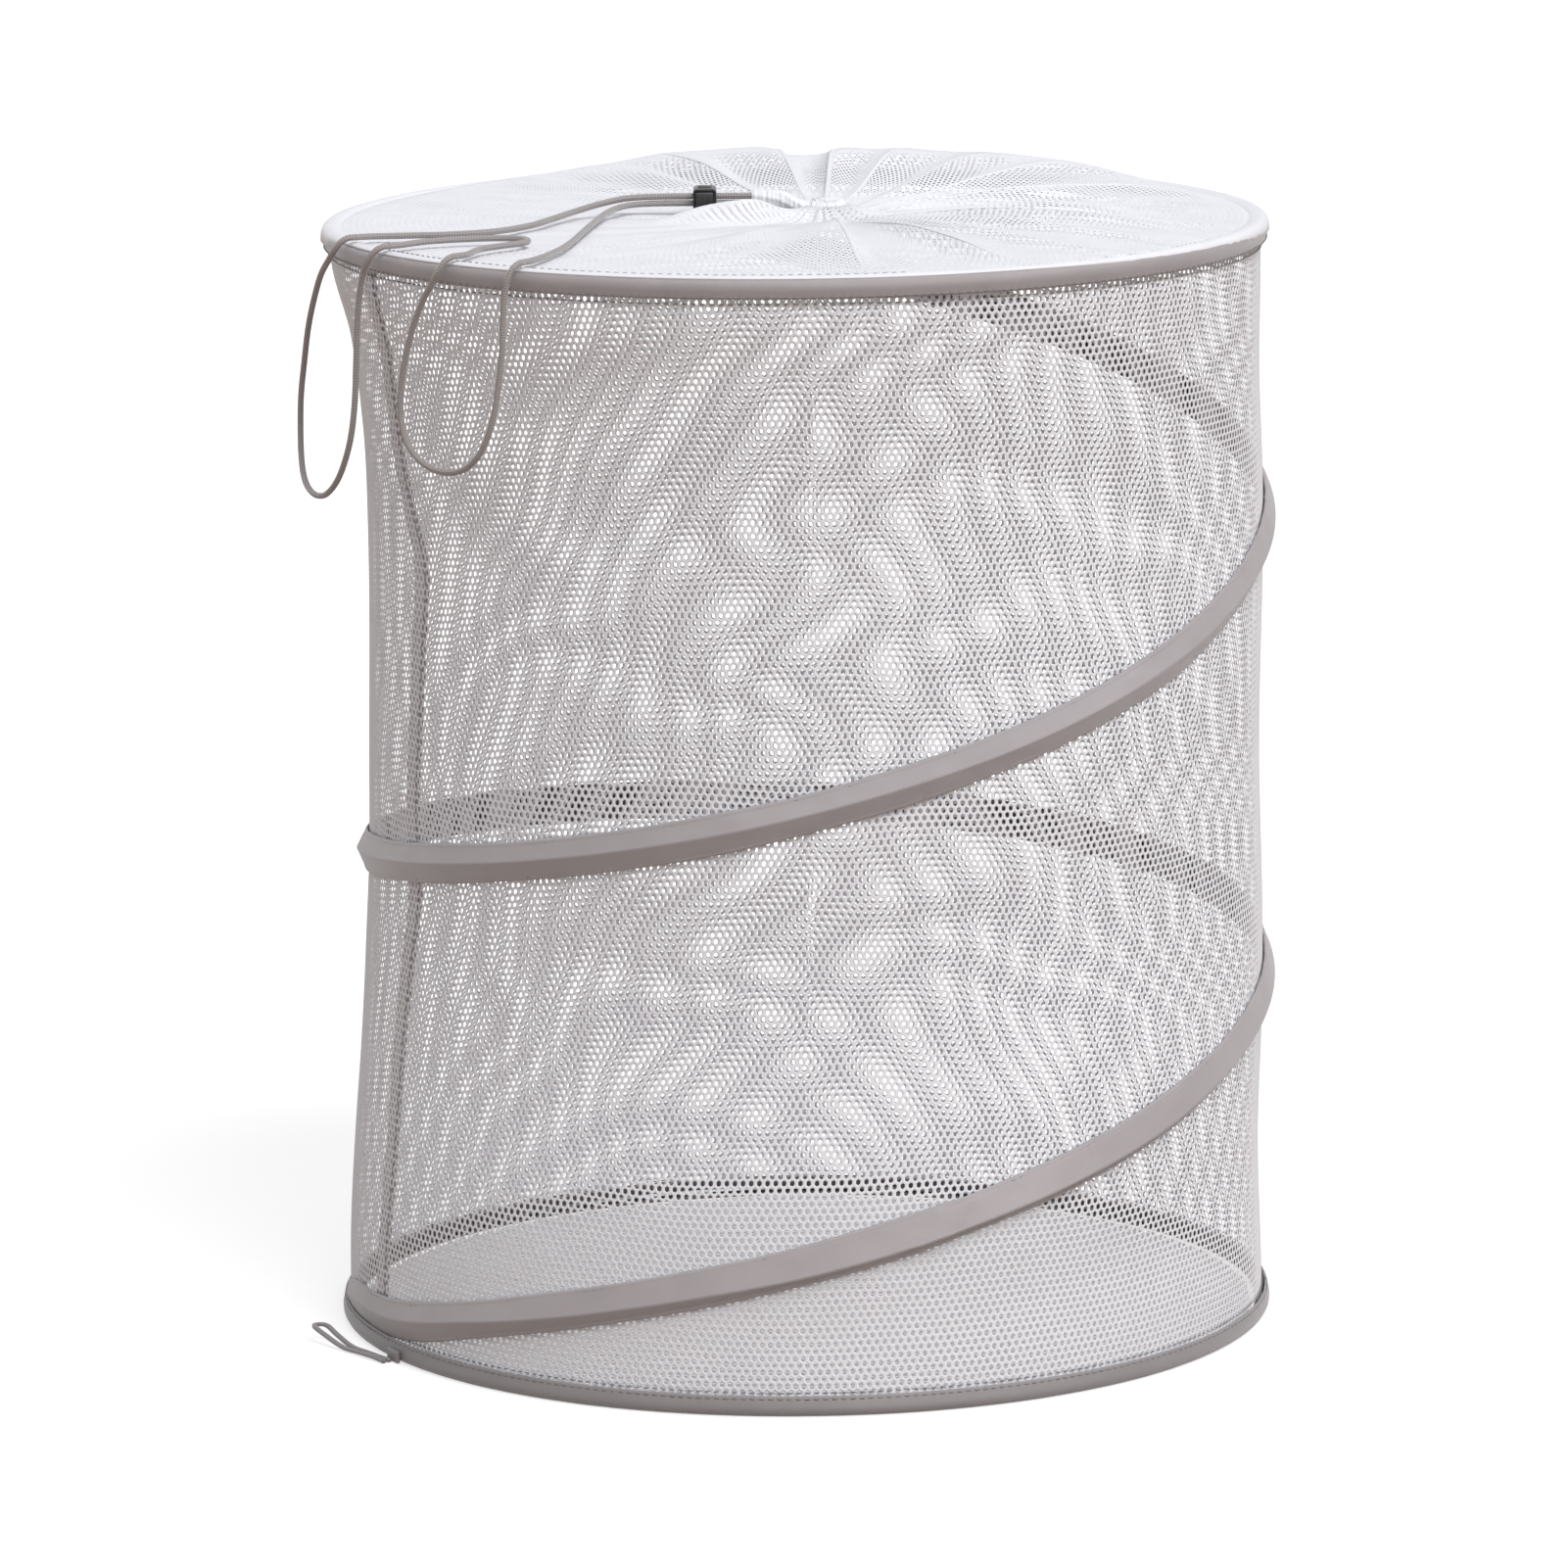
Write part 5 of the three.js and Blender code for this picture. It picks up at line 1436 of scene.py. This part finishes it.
class HAMPER_OT_stow_loop(Making, bpy.types.Operator):
    """Make the stow loop: a narrow strap sewn under the bottom rim, its far end curling up off the floor"""

    bl_idname = "hamper.stow_loop"
    bl_label = "Stow loop"

    def execute(self, context):
        path = smooth_path(self.course(), 0.5 * MM)
        strap = self.strap(path)
        dressed(strap, "grey woven tape", "stow_strap", ["stow_loop"])
        tab = moulded("stow_tab", "stow_loop_tab", 0.45 * MM)
        dressed(tab, "grey woven tape", "base", ["stow_loop_tab"])
        return {"FINISHED"}

    def course(self):
        """Points out along one side of the loop, round its end and back along the other side."""
        pivot = np.array(JOINTS["stow_loop_swing"]["pos_m"][:2])
        direction = math.radians(127)
        root, end, length = 1.3 * MM, 3 * MM, 50 * MM
        reach = length - end - 1 * MM
        side = [(-0.6 * MM, root)]
        side += [(reach * t, root + (end - root) * t ** 1.3) for t in (0.15, 0.35, 0.6, 0.85)]
        flat = [(out, -aside) for out, aside in side]
        flat += [(reach + end * math.cos(a), end * math.sin(a)) for a in np.radians((-80, -45, 0, 45, 80))]
        flat += reversed(side)
        onward = np.array((math.cos(direction), math.sin(direction)))
        across = np.array((-math.sin(direction), math.cos(direction)))
        points = []
        for out, aside in flat:
            curl = 6 * MM * smooth_step(26 * MM, 54 * MM, out)
            lift = 1.2 * MM + curl + 0.4 * MM * (aside > 0) * (out > 0)
            points.append((*(pivot + onward * out + across * aside), lift))
        return points

    def strap(self, path):
        """Narrow strap on edge along a path, its corners rounded."""
        run = headings(path)
        sideways = np.cross(run, (0, 0, 1))
        sideways /= np.linalg.norm(sideways, axis=1)[:, None]
        girth = girth_angles(16)
        wide, tall = (np.sign(wave) * np.abs(wave) ** 0.6 * half
                      for wave, half in ((np.cos(girth), 1.05 * MM), (np.sin(girth), 0.8 * MM)))
        return swept("stow_strap_loop", path, sideways, np.cross(sideways, run), wide, tall, 0.9 * MM)


class HAMPER_OT_inner_metal(Making, bpy.types.Operator):
    """Finish the ring wires and ferrules that the bindings hold"""

    bl_idname = "hamper.inner_metal"
    bl_label = "Ring wires and ferrules"

    def execute(self, context):
        for kind, coat in (("ring_wire", "drawn spring steel"), ("ring_ferrule", "crimped ferrule")):
            for side in ("bottom", "top"):
                mesh = frame["nodes"][f"{side}_{kind}"].data
                mesh.materials.clear()
                mesh.materials.append(finish(coat))
        return {"FINISHED"}


# Stage

CAMERA_TURN = 0.002
SUN_DIRECTION = (0.369, -0.527, 0.766)
SUN_COLOR = (0.98, 0.985, 1)
SKY_COLOR = (0.95, 0.96, 1, 1)
WHITE = (1, 1, 1, 1)
FLOOR_REACH = 14
FLOOR_SEEN = (0.4, 0.4, 0.405)
FLOOR_THROWN_BACK = (0.34, 0.25, 0.185)


def seen_directly(tree):
    """1 for what the camera sees itself, also in a reflection or through glass."""
    rays = tree.nodes.new("ShaderNodeLightPath").outputs
    first = calculated(tree, "MAXIMUM", rays["Is Camera Ray"], rays["Is Glossy Ray"])
    return calculated(tree, "MAXIMUM", first, rays["Is Transmission Ray"])


class HAMPER_OT_stage(Making, bpy.types.Operator):
    """Set the stage: camera, lights, white world and a pale floor that keeps the shadow"""

    bl_idname = "hamper.stage"
    bl_label = "Stage"

    def execute(self, context):
        settings = context.scene.hamper_stage
        context.scene.view_settings.view_transform = "Standard"
        context.scene.camera = self.make_camera(settings)
        context.scene.world = self.make_world(settings)
        self.make_floor(settings)
        self.make_sun(settings)
        return {"FINISHED"}

    def make_sun(self, settings):
        data = bpy.data.lights.new("sun", "SUN")
        data.energy = settings.sun_strength
        data.angle = settings.sun_angle
        data.color = SUN_COLOR
        linked("sun", data).rotation_euler = Vector(SUN_DIRECTION).to_track_quat("Z", "Y").to_euler()

    def make_camera(self, settings):
        data = bpy.data.cameras.new("camera")
        data.sensor_width = 36
        data.lens = settings.focal_length
        data.clip_end = 50
        camera = linked("camera", data)
        tilt = Matrix.Rotation(math.pi / 2 - settings.camera_pitch, 4, "X")
        lean = Matrix.Rotation(-settings.camera_roll, 4, "Z")
        turn = Matrix.Rotation(CAMERA_TURN, 4, "Z")
        place = Matrix.Translation((0, -settings.camera_distance, settings.camera_height))
        camera.matrix_world = place @ turn @ tilt @ lean
        return camera

    def make_world(self, settings):
        """White where it is seen, and a quieter sky that lights the hamper."""
        world = bpy.data.worlds.new("studio")
        world.use_nodes = True
        tree = world.node_tree
        sky = tree.nodes["Background"]
        sky.inputs["Color"].default_value = SKY_COLOR
        sky.inputs["Strength"].default_value = settings.sky_strength
        white = add_node(tree, "ShaderNodeBackground", {"Color": WHITE, "Strength": 1})
        choice = add_node(tree, "ShaderNodeMixShader",
                          {0: seen_directly(tree), 1: sky.outputs[0], 2: white.outputs[0]})
        tree.links.new(choice.outputs[0], tree.nodes["World Output"].inputs["Surface"])
        return world

    def make_floor(self, settings):
        """Pale where it is seen, and warmer where it throws light back on the hamper."""
        corners = [(x * FLOOR_REACH, y * FLOOR_REACH, 0) for x, y in ((-1, -1), (1, -1), (1, 1), (-1, 1))]
        floor = mesh_object("floor", corners, [(0, 1, 2, 3)], smooth=False)
        material, tree, shader = new_material("pale floor", FLOOR_SEEN, 0.9)
        seen = seen_directly(tree)
        tree.links.new(mixed(tree, seen, FLOOR_THROWN_BACK, FLOOR_SEEN), shader.inputs["Base Color"])
        lift = calculated(tree, "MULTIPLY", seen, settings.floor_glow)
        glow = add_node(tree, "ShaderNodeEmission", {"Color": WHITE, "Strength": lift})
        both = add_node(tree, "ShaderNodeAddShader", {0: shader.outputs[0], 1: glow.outputs[0]})
        tree.links.new(both.outputs[0], tree.nodes["Material Output"].inputs["Surface"])
        floor.data.materials.append(material)


class HAMPER_PT_panel(bpy.types.Panel):
    """Lists the hamper's settings and steps in the sidebar"""

    bl_label = "Pop Up Hamper"
    bl_idname = "HAMPER_PT_panel"
    bl_space_type = "VIEW_3D"
    bl_region_type = "UI"
    bl_category = "Hamper"

    def draw(self, context):
        layout = self.layout
        for label, group in SETTINGS.items():
            box = layout.box()
            settings = getattr(context.scene, label)
            box.label(text=group.__doc__)
            for name in group.__annotations__:
                box.prop(settings, name)
        for step in STEPS:
            layout.operator(step.bl_idname)


SETTINGS = {
    "hamper_net": NetSettings,
    "hamper_tape": TapeSettings,
    "hamper_cord": CordSettings,
    "hamper_lock": LockSettings,
    "hamper_stage": StageSettings,
}
STEPS = (
    HAMPER_OT_stage,
    HAMPER_OT_drawcord,
    HAMPER_OT_stow_loop,
    HAMPER_OT_wall_net,
    HAMPER_OT_base_net,
    HAMPER_OT_cover,
    HAMPER_OT_rim_bindings,
    HAMPER_OT_spiral,
    HAMPER_OT_seam_tape,
    HAMPER_OT_stitches,
    HAMPER_OT_cord_lock,
    HAMPER_OT_inner_metal,
)


def register():
    for kind in (*SETTINGS.values(), *STEPS, HAMPER_PT_panel):
        bpy.utils.register_class(kind)
    for label, group in SETTINGS.items():
        setattr(bpy.types.Scene, label, bpy.props.PointerProperty(type=group))


def unregister():
    for label in SETTINGS:
        delattr(bpy.types.Scene, label)
    for kind in reversed((*SETTINGS.values(), *STEPS, HAMPER_PT_panel)):
        bpy.utils.unregister_class(kind)


def main():
    register()
    for step in STEPS:
        family, name = step.bl_idname.split(".")
        getattr(getattr(bpy.ops, family), name)()


if __name__ == "__main__":
    main()
